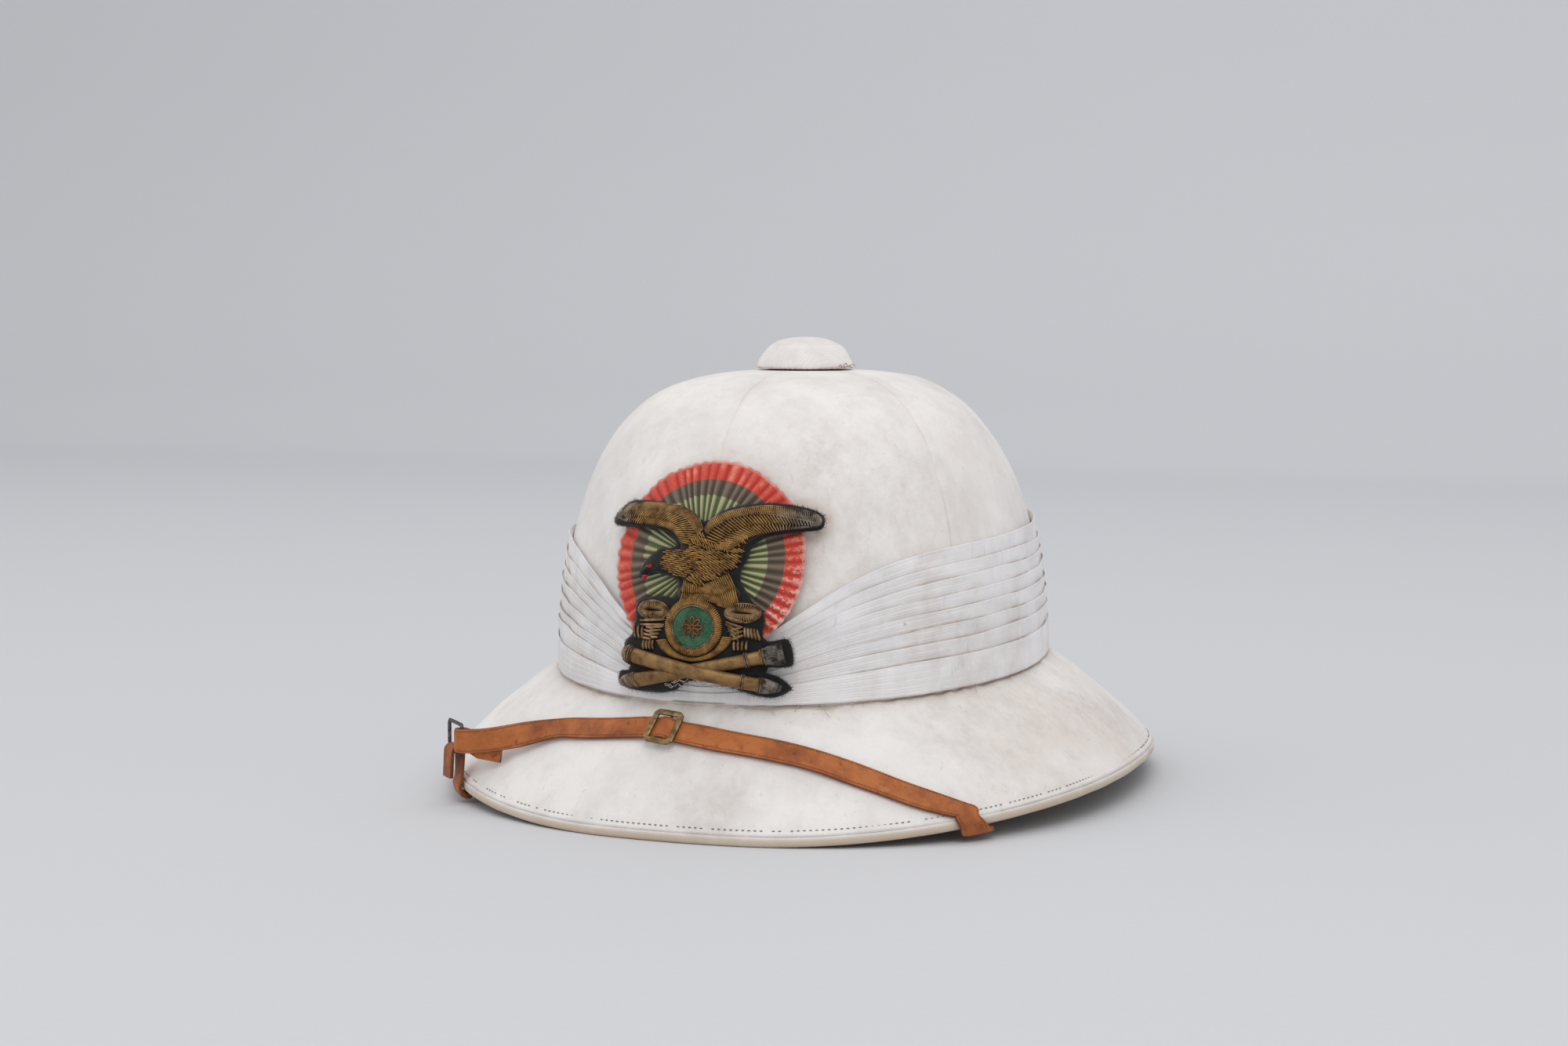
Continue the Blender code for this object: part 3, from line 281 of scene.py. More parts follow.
@dataclass(frozen=True)
class ChalkedCloth:
    """White cotton that has been whitened with chalk, with grime where hands and folds leave it, and painted
    shade: the mesh's darkening mark also carries painted shadow, weave hollows and fan-line valleys are
    painted darker, and fan-line ridges get a painted highlight.
    """

    name: str
    light: Triple = (238, 235, 232)
    shade: Triple = (223, 219, 216)
    # Colour of grime, also used as painted shade in the fan lines' valleys.
    grime: Triple = (166, 136, 106)
    rim: Triple = (198, 180, 158)
    lining: Triple = (196, 186, 166)
    pitch: float = 0.00065
    weave: float = 0.05
    lines: float = 0.0

    def make(self) -> Material:
        """Builds the material."""
        s = Sheet(self.name)
        patches = s.span(s.noise(24, 5, 0.68), 0.40, 0.66)
        base = s.mix(patches, srgb(*self.light), srgb(*self.shade))
        streaks = s.span(s.noise(75, 5, 0.7, (1, 1, 0.3)), 0.50, 0.75, 0.0, 0.55)
        base = s.mix(streaks, base, srgb(214, 208, 203))
        smudge = s.span(s.noise(12, 6, 0.72, (1, 1, 0.6)), 0.53, 0.72)
        rubbed = s.span(s.noise(230, 4, 0.7), 0.35, 0.65, 0.25, 1.0)
        base = s.mix(s.times(s.times(smudge, rubbed), 0.5), base, srgb(178, 158, 142))
        warm = s.span(s.noise(8, 4, 0.6, (1.3, 1, 0.8)), 0.56, 0.74, 0.0, 0.3)
        base = s.mix(warm, base, srgb(224, 208, 194))
        scratches = s.span(s.noise(380, 2, 0.5, (1, 1, 0.08)), 0.67, 0.74, 0.0, 0.22)
        base = s.mix(scratches, base, srgb(186, 172, 160))
        # The mesh's darkening mark is grime at seams, stains and folds, and painted shade where it darkens
        # the brim under the band and the crown round the badge.
        dirt_and_shade = s.mark("grime")
        broken = s.span(s.noise(120, 4, 0.7), 0.35, 0.65, 0.35, 1.0)
        base = s.mix(s.times(dirt_and_shade, broken), base, srgb(*self.grime))
        # Deep brown where the mark is highest, mostly at the band's foot: partly grime, partly painted shadow
        # under the band.
        base = s.mix(s.span(dirt_and_shade, 0.8, 1.25, 0.0, 0.8), base, srgb(112, 82, 58))
        spots = s.node("TexVoronoi", {"Vector": s.place(), "Scale": 75.0}).outputs["Distance"]
        spots = s.span(spots, 0.035, 0.06, 0.55, 0.0)
        sparse = s.span(s.noise(30, 1), 0.56, 0.6)
        base = s.mix(s.times(spots, sparse), base, srgb(150, 126, 100))
        band = s.times(s.mark("rim"), s.span(s.noise(40, 3), 0.3, 0.6, 0.65, 1.0))
        base = s.mix(band, base, srgb(*self.rim))
        base = s.mix(s.mark("inside"), base, srgb(*self.lining))
        chalk = s.noise(700, 3, 0.7)
        brushed = s.noise(160, 4, 0.65, (1, 1, 0.35))
        height = s.plus(s.times(brushed, 0.6), s.times(chalk, 0.5))
        threads = s.weave(self.pitch)
        height = s.plus(height, s.times(threads, self.weave))
        # Painted shade in the weave's hollows.
        base = s.mix(s.span(threads, -0.2, -1.0, 0.0, 0.16), base, srgb(178, 168, 158))
        if self.lines:
            fan = s.node("UVMap", {}, uv_map="band").outputs[0]
            share = s.node("SeparateXYZ", {0: fan}).outputs[1]
            wander = s.times(s.noise(14, 2, 0.5), 9.0)
            wave = s.math("SINE", s.plus(s.times(share, self.lines), wander))
            drawn = s.times(s.mark("fan"), s.span(s.noise(45, 3), 0.4, 0.6, 0.15, 1.0))
            ridge = s.times(s.span(wave, 0.7, 1.0), drawn)
            height = s.plus(height, s.times(ridge, 0.55))
            # Painted highlight on the fan lines' raised ridges.
            base = s.mix(s.times(ridge, 0.4), base, srgb(247, 246, 245))
            # Valleys painted with the grime colour: partly tan grime, partly painted shade in the fold.
            valley = s.times(s.span(wave, -0.8, -1.0), drawn)
            base = s.mix(s.times(valley, 0.3), base, srgb(*self.grime))
        normal = s.bump(height, 0.65, 0.0005)
        rough = s.span(brushed, 0.3, 0.7, 0.82, 0.97)
        return s.finish(base, rough, normal, Sheen_Weight=0.15, Sheen_Roughness=0.6, Specular_IOR_Level=0.25)


@dataclass(frozen=True)
class PleatedRibbon:
    """Ribbed silk ribbon in three colours by its distance from the middle, faded at the ridges, with painted
    shade in the pleats' valleys and lighter ridges.
    """

    red: Triple = (202, 66, 48)
    faded_red: Triple = (228, 138, 116)
    brown: Triple = (118, 102, 86)
    green: Triple = (174, 170, 128)
    # Green for the pleats' valleys, a painted shade of the green above.
    shaded_green: Triple = (82, 98, 62)

    def make(self) -> Material:
        """Builds the material."""
        s = Sheet("pleated_ribbon")
        reach = s.plus(s.mark("reach"), s.times(s.noise(260, 2), 0.012))
        ridge = s.mark("ridge")
        worn = s.noise(90, 4, 0.7)
        red = s.mix(s.times(s.span(worn, 0.5, 0.68), s.span(ridge, 0.3, 1.0)),
                    srgb(*self.red), srgb(*self.faded_red))
        # Painted shade: red darkens in the pleats' valleys.
        red = s.mix(s.span(ridge, 0.45, 0.0, 0.0, 0.6), red, srgb(136, 30, 22))
        bare = s.plus(s.noise(640, 4, 0.8), s.times(ridge, 0.16))
        bare = s.plus(bare, s.span(reach, 0.9, 1.0, 0.0, 0.08))
        threadbare = s.times(s.mark("worn"), s.span(bare, 0.62, 0.70))
        red = s.mix(s.times(threadbare, 0.75), red, srgb(228, 196, 184))
        # Painted light and shade on the pleats: brown and green are dark in the valleys and lighter on the
        # ridges.
        brown = s.mix(s.span(ridge, 0.1, 0.9), srgb(74, 64, 52), srgb(*self.brown))
        green = s.mix(s.span(ridge, 0.25, 0.75), srgb(*self.shaded_green), srgb(*self.green))
        base = s.mix(s.span(reach, 0.655, 0.665), green, brown)
        base = s.mix(s.span(reach, 0.815, 0.825), base, red)
        fray = s.times(s.span(reach, 0.975, 1.0), s.span(worn, 0.4, 0.6, 0.2, 0.8))
        base = s.mix(fray, base, srgb(224, 190, 178))
        ribs = s.wave(s.mark("reach"), 620.0)
        height = s.plus(s.times(ribs, 0.2), s.times(s.noise(900, 2), 0.5))
        return s.finish(base, s.span(worn, 0.3, 0.7, 0.6, 0.85), s.bump(height, 0.35, 0.0002),
                        Sheen_Weight=0.2, Specular_IOR_Level=0.3)


@dataclass(frozen=True)
class WoolFelt:
    """Felt with a dense, slightly fuzzy pile."""

    name: str
    dark: Triple
    light: Triple

    def make(self) -> Material:
        """Builds the material."""
        s = Sheet(self.name)
        fine = s.noise(1500, 4, 0.75)
        clouds = s.noise(160, 3, 0.6)
        share = s.plus(s.times(fine, 0.6), s.times(clouds, 0.4))
        base = s.mix(s.span(share, 0.4, 0.62), srgb(*self.dark), srgb(*self.light))
        return s.finish(base, s.span(fine, 0.3, 0.7, 0.85, 1.0), s.bump(fine, 0.8, 0.0004),
                        Sheen_Weight=0.25, Sheen_Roughness=0.5, Specular_IOR_Level=0.2)


@dataclass(frozen=True)
class CoiledWire:
    """Gilt bullion: fine wire coiled into a limp spring and sewn down, brown with age, grey at the tips, with
    painted shade between the turns and on sides that face inwards and down.
    """

    name: str = "bullion_wire"
    gilt: Triple = (196, 152, 88)
    brown: Triple = (116, 84, 50)
    grey: Triple = (176, 170, 160)
    coil: float = 0.00028

    def make(self) -> Material:
        """Builds the material."""
        s = Sheet(self.name)
        tone = s.mark("tone")
        age = s.noise(230, 4, 0.7)
        gilt = s.mix(s.span(age, 0.4, 0.66), srgb(*self.gilt), srgb(*self.brown))
        grey = s.mix(s.span(age, 0.35, 0.6), srgb(*self.grey), srgb(58, 52, 48))
        base = s.mix(tone, gilt, grey)
        coils = s.wave(s.mark("run"), FULL_TURN / self.coil)
        # Painted shade in the grooves between the coil's turns.
        base = s.mix(s.span(coils, -0.2, -1.0, 0.0, 0.5), base, srgb(48, 32, 18))
        # Painted shade on the sides that face inwards and down, from the facing mark.
        side = s.span(s.mark("face_up"), 0.5, 0.0, 0.0, 0.9)
        base = s.mix(side, base, srgb(26, 18, 12))
        return s.finish(base, s.span(age, 0.3, 0.7, 0.34, 0.6), s.bump(coils, 0.6, 0.00012), Metallic=0.7)


@dataclass(frozen=True)
class WoundThread:
    """Smooth gilt thread wound round a padded core, with painted shade in the grooves between windings."""

    gilt: Triple = (158, 124, 76)
    brown: Triple = (104, 76, 47)
    pitch: float = 0.00034

    def make(self) -> Material:
        """Builds the material."""
        s = Sheet("wound_thread")
        age = s.noise(150, 4, 0.65)
        base = s.mix(s.span(age, 0.42, 0.68), srgb(*self.gilt), srgb(*self.brown))
        windings = s.wave(s.mark("run"), FULL_TURN / self.pitch)
        # Painted shade in the grooves between the windings.
        base = s.mix(s.span(windings, -0.3, -1.0, 0.0, 0.4), base, srgb(70, 46, 22))
        base = s.mix(s.mark("tone"), base, srgb(70, 56, 46))
        height = s.plus(windings, s.times(s.noise(500, 2), 1.2))
        return s.finish(base, s.span(age, 0.3, 0.7, 0.36, 0.55), s.bump(height, 0.35, 0.00012), Metallic=0.55)


@dataclass(frozen=True)
class SaddleLeather:
    """Red-brown strap leather with a darker cut edge and a pressed line along each side."""

    base: Triple = (182, 104, 48)
    dark: Triple = (134, 70, 32)
    edge: Triple = (98, 56, 32)

    def make(self) -> Material:
        """Builds the material."""
        s = Sheet("saddle_leather")
        clouds = s.noise(70, 4, 0.65)
        rubbed = s.noise(210, 3, 0.6)
        base = s.mix(s.span(clouds, 0.4, 0.68), srgb(*self.base), srgb(*self.dark))
        base = s.mix(s.span(rubbed, 0.6, 0.75, 0.0, 0.4), base, srgb(204, 134, 78))
        base = s.mix(s.span(s.noise(330, 3), 0.62, 0.7, 0.0, 0.55), base, srgb(96, 50, 28))
        side = s.mark("side")
        line = s.math("ABSOLUTE", s.math("SUBTRACT", s.math("ABSOLUTE", side), 0.80))
        groove = s.span(line, 0.0, 0.06, 1.0, 0.0)
        base = s.mix(s.times(groove, 0.45), base, srgb(*self.dark))
        base = s.mix(s.mark("edge"), base, srgb(*self.edge))
        cells = s.node("TexVoronoi", {"Vector": s.place(), "Scale": 1500.0}, feature="DISTANCE_TO_EDGE")
        grain = s.span(cells.outputs["Distance"], 0.0, 0.12)
        height = s.plus(s.times(grain, 0.35), s.times(rubbed, 0.8))
        height = s.math("SUBTRACT", height, s.times(groove, 1.6))
        rough = s.span(clouds, 0.3, 0.7, 0.46, 0.66)
        return s.finish(base, rough, s.bump(height, 0.5, 0.00025), Specular_IOR_Level=0.4)


@dataclass(frozen=True)
class AgedMetal:
    """Metal gone dull, with brighter rubbed places."""

    name: str
    bright: Triple
    dull: Triple
    rough: float = 0.42

    def make(self) -> Material:
        """Builds the material."""
        s = Sheet(self.name)
        age = s.noise(260, 4, 0.7)
        base = s.mix(s.span(age, 0.38, 0.62), srgb(*self.bright), srgb(*self.dull))
        marks = s.noise(900, 3, 0.6, (1, 0.2, 1))
        return s.finish(base, s.span(age, 0.3, 0.7, self.rough - 0.08, self.rough + 0.18),
                        s.bump(marks, 0.25, 0.0001), Metallic=0.9)


@dataclass(frozen=True)
class SewingThread:
    """Cotton thread, twisted."""

    name: str
    colour: Triple

    def make(self) -> Material:
        """Builds the material."""
        s = Sheet(self.name)
        fuzz = s.noise(2200, 3, 0.7)
        dark = tuple(0.7 * part for part in self.colour)
        base = s.mix(s.span(fuzz, 0.35, 0.65), srgb(*self.colour), srgb(*dark))
        return s.finish(base, s.span(fuzz, 0.3, 0.7, 0.75, 0.95), s.bump(fuzz, 0.6, 0.0001))


@dataclass(frozen=True)
class StudioPaper:
    """Pale matt paper under and behind the object."""

    colour: Triple = (212, 213, 216)

    def make(self) -> Material:
        """Builds the material."""
        s = Sheet("studio_paper")
        grain = s.noise(300, 2)
        darker = tuple(part - 3 for part in self.colour)
        base = s.mix(grain, srgb(*self.colour), srgb(*darker))
        return s.finish(base, 0.9, None, Specular_IOR_Level=0.1)


def set_mark(mesh: Mesh, name: str, values: Array) -> None:
    """Gives each point of a mesh a number."""
    layer = mesh.attributes.new(name, "FLOAT", "POINT")
    layer.data.foreach_set("value", np.asarray(values, np.float32).ravel())


def set_map(mesh: Mesh, name: str, values: Array) -> None:
    """Gives each corner of a mesh's faces two coordinates."""
    layer = mesh.uv_layers.new(name=name)
    layer.data.foreach_set("uv", np.asarray(values, np.float32).ravel())


def add_piece(name: str, mesh: Mesh, material: Material | None) -> Piece:
    """Puts a mesh into the scene as a smooth piece at the origin.

    Args:
        name: Name of the piece.
        mesh: Its mesh, in the frame's place.
        material: Its material, or None to keep what the mesh has.

    Returns:
        The piece's object.
    """
    if material is not None:
        mesh.materials.clear()
        mesh.materials.append(material)
    mesh.shade_smooth()
    piece = bpy.data.objects.new(name, mesh)
    bpy.context.scene.collection.objects.link(piece)
    return piece


def plain_mesh(name: str, points: Array, faces: Array | list, marks: dict[str, Array],
               maps: dict[str, Array] | None = None) -> Mesh:
    """Builds a closed mesh whose faces point outwards.

    Args:
        name: Name of the mesh.
        points: Places of the vertices.
        faces: Corner numbers of each face, all of one length.
        marks: A number for each vertex, by name.
        maps: Map coordinates for each face's corners, by name.

    Returns:
        The mesh.
    """
    faces = np.asarray(faces)
    corners = points[faces]
    volume = sum(np.einsum("ij,ij->", corners[:, 0], np.cross(corners[:, k], corners[:, k + 1]))
                 for k in range(1, faces.shape[1] - 1))
    if volume < 0:
        faces = faces[:, ::-1]
        maps = {key: value[:, ::-1] for key, value in (maps or {}).items()}
    mesh = bpy.data.meshes.new(name)
    mesh.from_pydata(points.tolist(), [], faces.tolist())
    for key, values in marks.items():
        set_mark(mesh, key, values)
    for key, values in (maps or {}).items():
        set_map(mesh, key, values)
    mesh.validate()
    mesh.update()
    return mesh


def ring_mesh(name: str, grid: Array, marks: dict[str, Array],
              maps: dict[str, tuple[Array, Array]] | None = None) -> Mesh:
    """Closed mesh from rows that run round, each joined to the next and the last to the first.

    Args:
        name: Name of the mesh.
        grid: Places by row and column.
        marks: A number for each place, by name.
        maps: For each map, coordinates at the left and right corner of each column's faces.

    Returns:
        The mesh.
    """
    rows, columns = grid.shape[:2]
    r, c = np.meshgrid(np.arange(rows), np.arange(columns), indexing="ij")
    below, right = (r + 1) % rows, (c + 1) % columns
    faces = np.stack([r * columns + c, r * columns + right, below * columns + right, below * columns + c], -1)
    flat_maps = {}
    for key, (left_map, right_map) in (maps or {}).items():
        corners = np.stack([left_map[r, c], right_map[r, c], right_map[below, c], left_map[below, c]], 2)
        flat_maps[key] = corners.reshape(-1, 4, 2)
    return plain_mesh(name, grid.reshape(-1, 3), faces.reshape(-1, 4),
                      {key: value.reshape(-1) for key, value in marks.items()}, flat_maps)


def tube_with_ends(name: str, grid: Array, marks: dict[str, Array]) -> Mesh:
    """Closed mesh from loops in a line, each end closed by a point in its middle.

    Args:
        name: Name of the mesh.
        grid: Places by loop and place on the loop.
        marks: A number for each place, by name.

    Returns:
        The mesh.
    """
    rows, columns = grid.shape[:2]
    points = np.concatenate([grid.reshape(-1, 3), grid[0].mean(0)[None], grid[-1].mean(0)[None]])
    r, c = np.meshgrid(np.arange(rows - 1), np.arange(columns), indexing="ij")
    right = (c + 1) % columns
    here, below = r * columns, (r + 1) * columns
    sides = np.stack([here + c, here + right, below + right, below + c], -1).reshape(-1, 4)
    triangles = np.concatenate([sides[:, [0, 1, 2]], sides[:, [0, 2, 3]]])
    ring = np.arange(columns)
    turned = (ring + 1) % columns
    first, last = rows * columns, rows * columns + 1
    start = np.stack([np.full(columns, first), turned, ring], -1)
    end = np.stack([np.full(columns, last), (rows - 1) * columns + ring, (rows - 1) * columns + turned], -1)
    full = {key: np.concatenate([value.reshape(-1), [value[0].mean(), value[-1].mean()]])
            for key, value in marks.items()}
    return plain_mesh(name, points, np.concatenate([triangles, start, end]), full)


class GrowthTree:
    """A Geometry Nodes tree with named inputs, built in short calls."""

    def __init__(self, name: str) -> None:
        """Starts an empty tree.

        Args:
            name: Name of the tree.
        """
        self.group = bpy.data.node_groups.new(name, "GeometryNodeTree")
        self.group.interface.new_socket("Geometry", in_out="OUTPUT", socket_type="NodeSocketGeometry")
        self.group.interface.new_socket("Geometry", in_out="INPUT", socket_type="NodeSocketGeometry")
        self.start: bpy.types.Node | None = None

    def ask(self, name: str, kind: str) -> None:
        """Adds a named input of a kind."""
        self.group.interface.new_socket(name, in_out="INPUT", socket_type="NodeSocket" + kind)

    def given(self, name: str) -> Socket:
        """The value of a named input."""
        if self.start is None:
            self.start = self.group.nodes.new("NodeGroupInput")
        return self.start.outputs[name]

    def node(self, kind: str, inputs: dict[object, object], **settings: object) -> bpy.types.Node:
        """Adds a node.

        Args:
            kind: Blender's name of the node.
            inputs: Value or socket for each input, by name or place.
            **settings: Properties of the node.

        Returns:
            The new node.
        """
        made = self.group.nodes.new(kind)
        for key, value in settings.items():
            setattr(made, key, value)
        for key, value in inputs.items():
            if isinstance(value, Socket):
                self.group.links.new(value, made.inputs[key])
            else:
                made.inputs[key].default_value = value
        return made

    def end(self, geometry: Socket) -> None:
        """Realizes what was made, gives it its material and ends the tree."""
        real = self.node("GeometryNodeRealizeInstances", {"Geometry": geometry})
        inputs = {"Geometry": real.outputs[0], "Material": self.given("Finish")}
        dressed = self.node("GeometryNodeSetMaterial", inputs)
        self.node("NodeGroupOutput", {0: dressed.outputs[0]})

    def grow(self, name: str, source: Mesh, values: dict[str, object]) -> Piece:
        """Runs the tree on a mesh and keeps the result as a plain piece.

        Args:
            name: Name of the new piece.
            source: Mesh that the tree starts from.
            values: Value of each named input.

        Returns:
            The new piece.
        """
        holder = bpy.data.objects.new(name + "_source", source)
        bpy.context.scene.collection.objects.link(holder)
        growth = holder.modifiers.new("growth", "NODES")
        growth.node_group = self.group
        for item in self.group.interface.items_tree:
            if item.item_type == "SOCKET" and item.in_out == "INPUT" and item.name in values:
                growth[item.identifier] = values[item.name]
        graph = bpy.context.evaluated_depsgraph_get()
        grown = bpy.data.meshes.new_from_object(holder.evaluated_get(graph), preserve_all_data_layers=True,
                                                depsgraph=graph)
        bpy.data.objects.remove(holder)
        shape = bmesh.new()
        shape.from_mesh(grown)
        bmesh.ops.recalc_face_normals(shape, faces=shape.faces)
        shape.to_mesh(grown)
        shape.free()
        return add_piece(name, grown, None)


def tube_tree() -> GrowthTree:
    """Tree that turns lines into round tubes, as wide as the lines' own marks say."""
    tree = GrowthTree("tubes_on_lines")
    tree.ask("Sides", "Int")
    tree.ask("Finish", "Material")
    lines = tree.node("GeometryNodeMeshToCurve", {"Mesh": tree.given("Geometry")})
    ring = tree.node("GeometryNodeCurvePrimitiveCircle", {"Resolution": tree.given("Sides"), "Radius": 1.0})
    bore = tree.node("GeometryNodeInputNamedAttribute", {"Name": "bore"}, data_type="FLOAT")
    tubes = tree.node("GeometryNodeCurveToMesh", {"Curve": lines.outputs[0], "Profile Curve": ring.outputs[0],
                                                  "Scale": bore.outputs[0], "Fill Caps": True})
    tree.end(tubes.outputs[0])
    return tree


def stitch_tree() -> GrowthTree:
    """Tree that lays stitches along lines at an even spacing, with a few missing."""
    tree = GrowthTree("stitches_on_lines")
    for name, kind in (("Spacing", "Float"), ("Length", "Float"), ("Thickness", "Float"), ("Kept", "Float"),
                       ("Seed", "Int"), ("Finish", "Material")):
        tree.ask(name, kind)
    lines = tree.node("GeometryNodeMeshToCurve", {"Mesh": tree.given("Geometry")})
    inputs = {"Curve": lines.outputs[0], "Length": tree.given("Spacing")}
    spots = tree.node("GeometryNodeCurveToPoints", inputs, mode="LENGTH")
    turn = tree.node("FunctionNodeAlignRotationToVector", {"Vector": spots.outputs["Tangent"]}, axis="X")
    bead = tree.node("GeometryNodeMeshUVSphere", {"Segments": 8, "Rings": 5, "Radius": 0.5})
    size = tree.node("ShaderNodeCombineXYZ", {0: tree.given("Length"), 1: tree.given("Thickness"),
                                              2: tree.given("Thickness")})
    inputs = {"Probability": tree.given("Kept"), "Seed": tree.given("Seed")}
    kept = tree.node("FunctionNodeRandomValue", inputs, data_type="BOOLEAN")
    laid = tree.node("GeometryNodeInstanceOnPoints", {
        "Points": spots.outputs[0], "Selection": kept.outputs[3], "Instance": bead.outputs[0],
        "Rotation": turn.outputs[0], "Scale": size.outputs[0]})
    tree.end(laid.outputs[0])
    return tree


def line_mesh(name: str, lines: Sequence[Array], bores: Sequence[float],
              tones: Sequence[float]) -> Mesh:
    """Mesh of loose lines that carry their radius, their run and their tone.

    Args:
        name: Name of the mesh.
        lines: Places along each line.
        bores: Radius of each line's tube.
        tones: Tone of each line.

    Returns:
        The mesh.
    """
    points = np.concatenate(lines)
    edges, bore, run, tone = [], [], [], []
    first = 0
    for line, radius, shade in zip(lines, bores, tones):
        edges += [(first + i, first + i + 1) for i in range(len(line) - 1)]
        first += len(line)
        taper = np.ones(len(line))
        taper[[0, -1]] = END_TAPER
        bore.append(taper * radius)
        run.append(run_along(line))
        tone.append(np.full(len(line), shade))
    mesh = bpy.data.meshes.new(name)
    mesh.from_pydata(points.tolist(), edges, [])
    for key, values in (("bore", bore), ("run", run), ("tone", tone)):
        set_mark(mesh, key, np.concatenate(values))
    return mesh


@dataclass(frozen=True)
class HelmetForm:
    """Main surfaces: a superelliptic dome, and a brim ruled from its base line to an oval rim."""

    crown_half_length: float = 0.1207
    crown_half_width: float = 0.1041
    crown_start: float = 0.0549
    crown_height: float = 0.1251
    height_power: float = 2.13
    spread_power: float = 3.59
    wall: float = 0.0035
    brim_front: float = 0.1564
    brim_rear: float = 0.1816
    brim_half_width: float = 0.1497
    squareness: float = 2.24
    rim_lift: float = 0.0115
    rest_angle: float = 12.0
    lift_power: float = 1.6
    rim_thickness: float = 0.0042
    rim_rounding: float = 0.0006
    rim_foot: float = 0.0034
    brim_bulge: float = 0.002
    base_drop: float = 0.0058
    band_side: float = 0.058
    band_front: float = 0.019
    band_fan: float = 29.0
    hole: float = 0.0059

    @property
    def middle_y(self) -> float:
        """Place of the crown's axis along the helmet."""
        return (self.brim_front - self.brim_rear) / 2

    @property
    def apex(self) -> float:
        """Height of the crown's top."""
        return self.crown_start + self.crown_height

    def base_line(self, azimuth: Array) -> Array:
        """Height where crown and brim meet."""
        return self.crown_start - self.base_drop * np.cos(azimuth)

    def spread(self, height: Array) -> Array:
        """Share of the crown's plan that is left at a height above the ground."""
        share = np.clip((height - self.crown_start) / self.crown_height, 0, 1)
        return (1 - share ** self.height_power) ** (1 / self.spread_power)

    def dome(self, spread: Array) -> Array:
        """Height above the crown's start at a spread."""
        return self.crown_height * (1 - spread ** self.spread_power) ** (1 / self.height_power)

    def crown(self, azimuth: Array, height: Array, offset: Array | float = 0.0) -> Array:
        """Places on the crown, moved out along its normal.

        Args:
            azimuth: Angles about the crown's axis, 0 in front.
            height: Heights above the ground.
            offset: Distances out of the surface.

        Returns:
            The places.
        """
        azimuth, height, offset = np.broadcast_arrays(azimuth, height, offset)
        s = self.spread(height)
        x = self.crown_half_width * s * np.sin(azimuth)
        y = -self.crown_half_length * s * np.cos(azimuth)
        rho = np.maximum(s, 1e-4) ** (self.spread_power - 2) * self.spread_power
        share = np.clip((height - self.crown_start) / self.crown_height, 0, 1)
        up = self.height_power * share ** (self.height_power - 1) / self.crown_height
        across, along = rho * x / self.crown_half_width ** 2, rho * y / self.crown_half_length ** 2
        normal = unit(np.stack([across, along, up], -1))
        return np.stack([x, y + self.middle_y, height], -1) + normal * offset[..., None]

    def rim_height(self, azimuth: Array) -> Array:
        """Height of the rim's underside."""
        from_axis = np.degrees(np.arccos(np.clip(np.abs(np.cos(azimuth)), 0, 1)))
        share = np.clip((from_axis - self.rest_angle) / (90 - self.rest_angle), 0, 1)
        return self.rim_lift * np.sin(share * math.pi / 2) ** self.lift_power

    def rim(self, azimuth: Array, inset: Array | float = 0.0,
            rise: Array | float = 0.0) -> Array:
        """Places on the rim's outline, moved towards the crown and up."""
        azimuth, inset, rise = np.broadcast_arrays(azimuth, inset, rise)
        reach = np.where(np.cos(azimuth) > 0, self.brim_front, self.brim_rear)
        shape = 2 / self.squareness
        x = self.brim_half_width * squarish(np.sin(azimuth), shape)
        y = -reach * squarish(np.cos(azimuth), shape)
        shrink = 1 - inset / np.hypot(x, y)
        return np.stack([x * shrink, y * shrink + self.middle_y, self.rim_height(azimuth) + rise], -1)

    def brim_line(self, azimuth: Array, share: Array | float) -> Array:
        """Places on the brim's upper side, from the crown (0) to the rim (1)."""
        azimuth, share = np.broadcast_arrays(azimuth, share)
        start = self.crown(azimuth, self.base_line(azimuth))
        end = self.rim(azimuth, self.rim_rounding, self.rim_thickness)
        run = end - start
        x, y, z = np.moveaxis(run, -1, 0)
        level = np.hypot(x, y)
        lean = unit(np.stack([-x * z / level, -y * z / level, level], -1))
        share = share[..., None]
        return start + run * share + lean * self.brim_bulge * 4 * share * (1 - share)

    def brim_normal(self, azimuth: Array, share: Array | float) -> Array:
        """Normals of the brim's upper side."""
        around = self.brim_line(azimuth + 0.01, share) - self.brim_line(azimuth - 0.01, share)
        down = (self.brim_line(azimuth, np.add(share, 0.01))
                - self.brim_line(azimuth, np.subtract(share, 0.01)))
        return unit(np.cross(down, around))

    def brim(self, azimuth: Array, share: Array | float, offset: Array | float = 0.0) -> Array:
        """Places off the brim's upper side."""
        azimuth, share, offset = np.broadcast_arrays(azimuth, share, offset)
        return self.brim_line(azimuth, share) + self.brim_normal(azimuth, share) * offset[..., None]

    def band_height(self, azimuth: Array) -> Array:
        """Height of the pleated band."""
        from_front = np.degrees(np.arccos(np.clip(np.cos(azimuth), -1, 1)))
        return self.band_side - (self.band_side - self.band_front) * bell(from_front, self.band_fan)

    def inner_corner(self, azimuth: Array) -> Array:
        """Corner inside the wall where crown and brim meet."""
        base = self.base_line(azimuth)
        corner = self.crown(azimuth, base)
        wall = self.crown(azimuth, base, 1.0) - corner
        slope = self.brim_normal(azimuth, 0.02)
        depth = self.wall / (1 + np.sum(wall * slope, -1, keepdims=True))
        return corner - (wall + slope) * depth


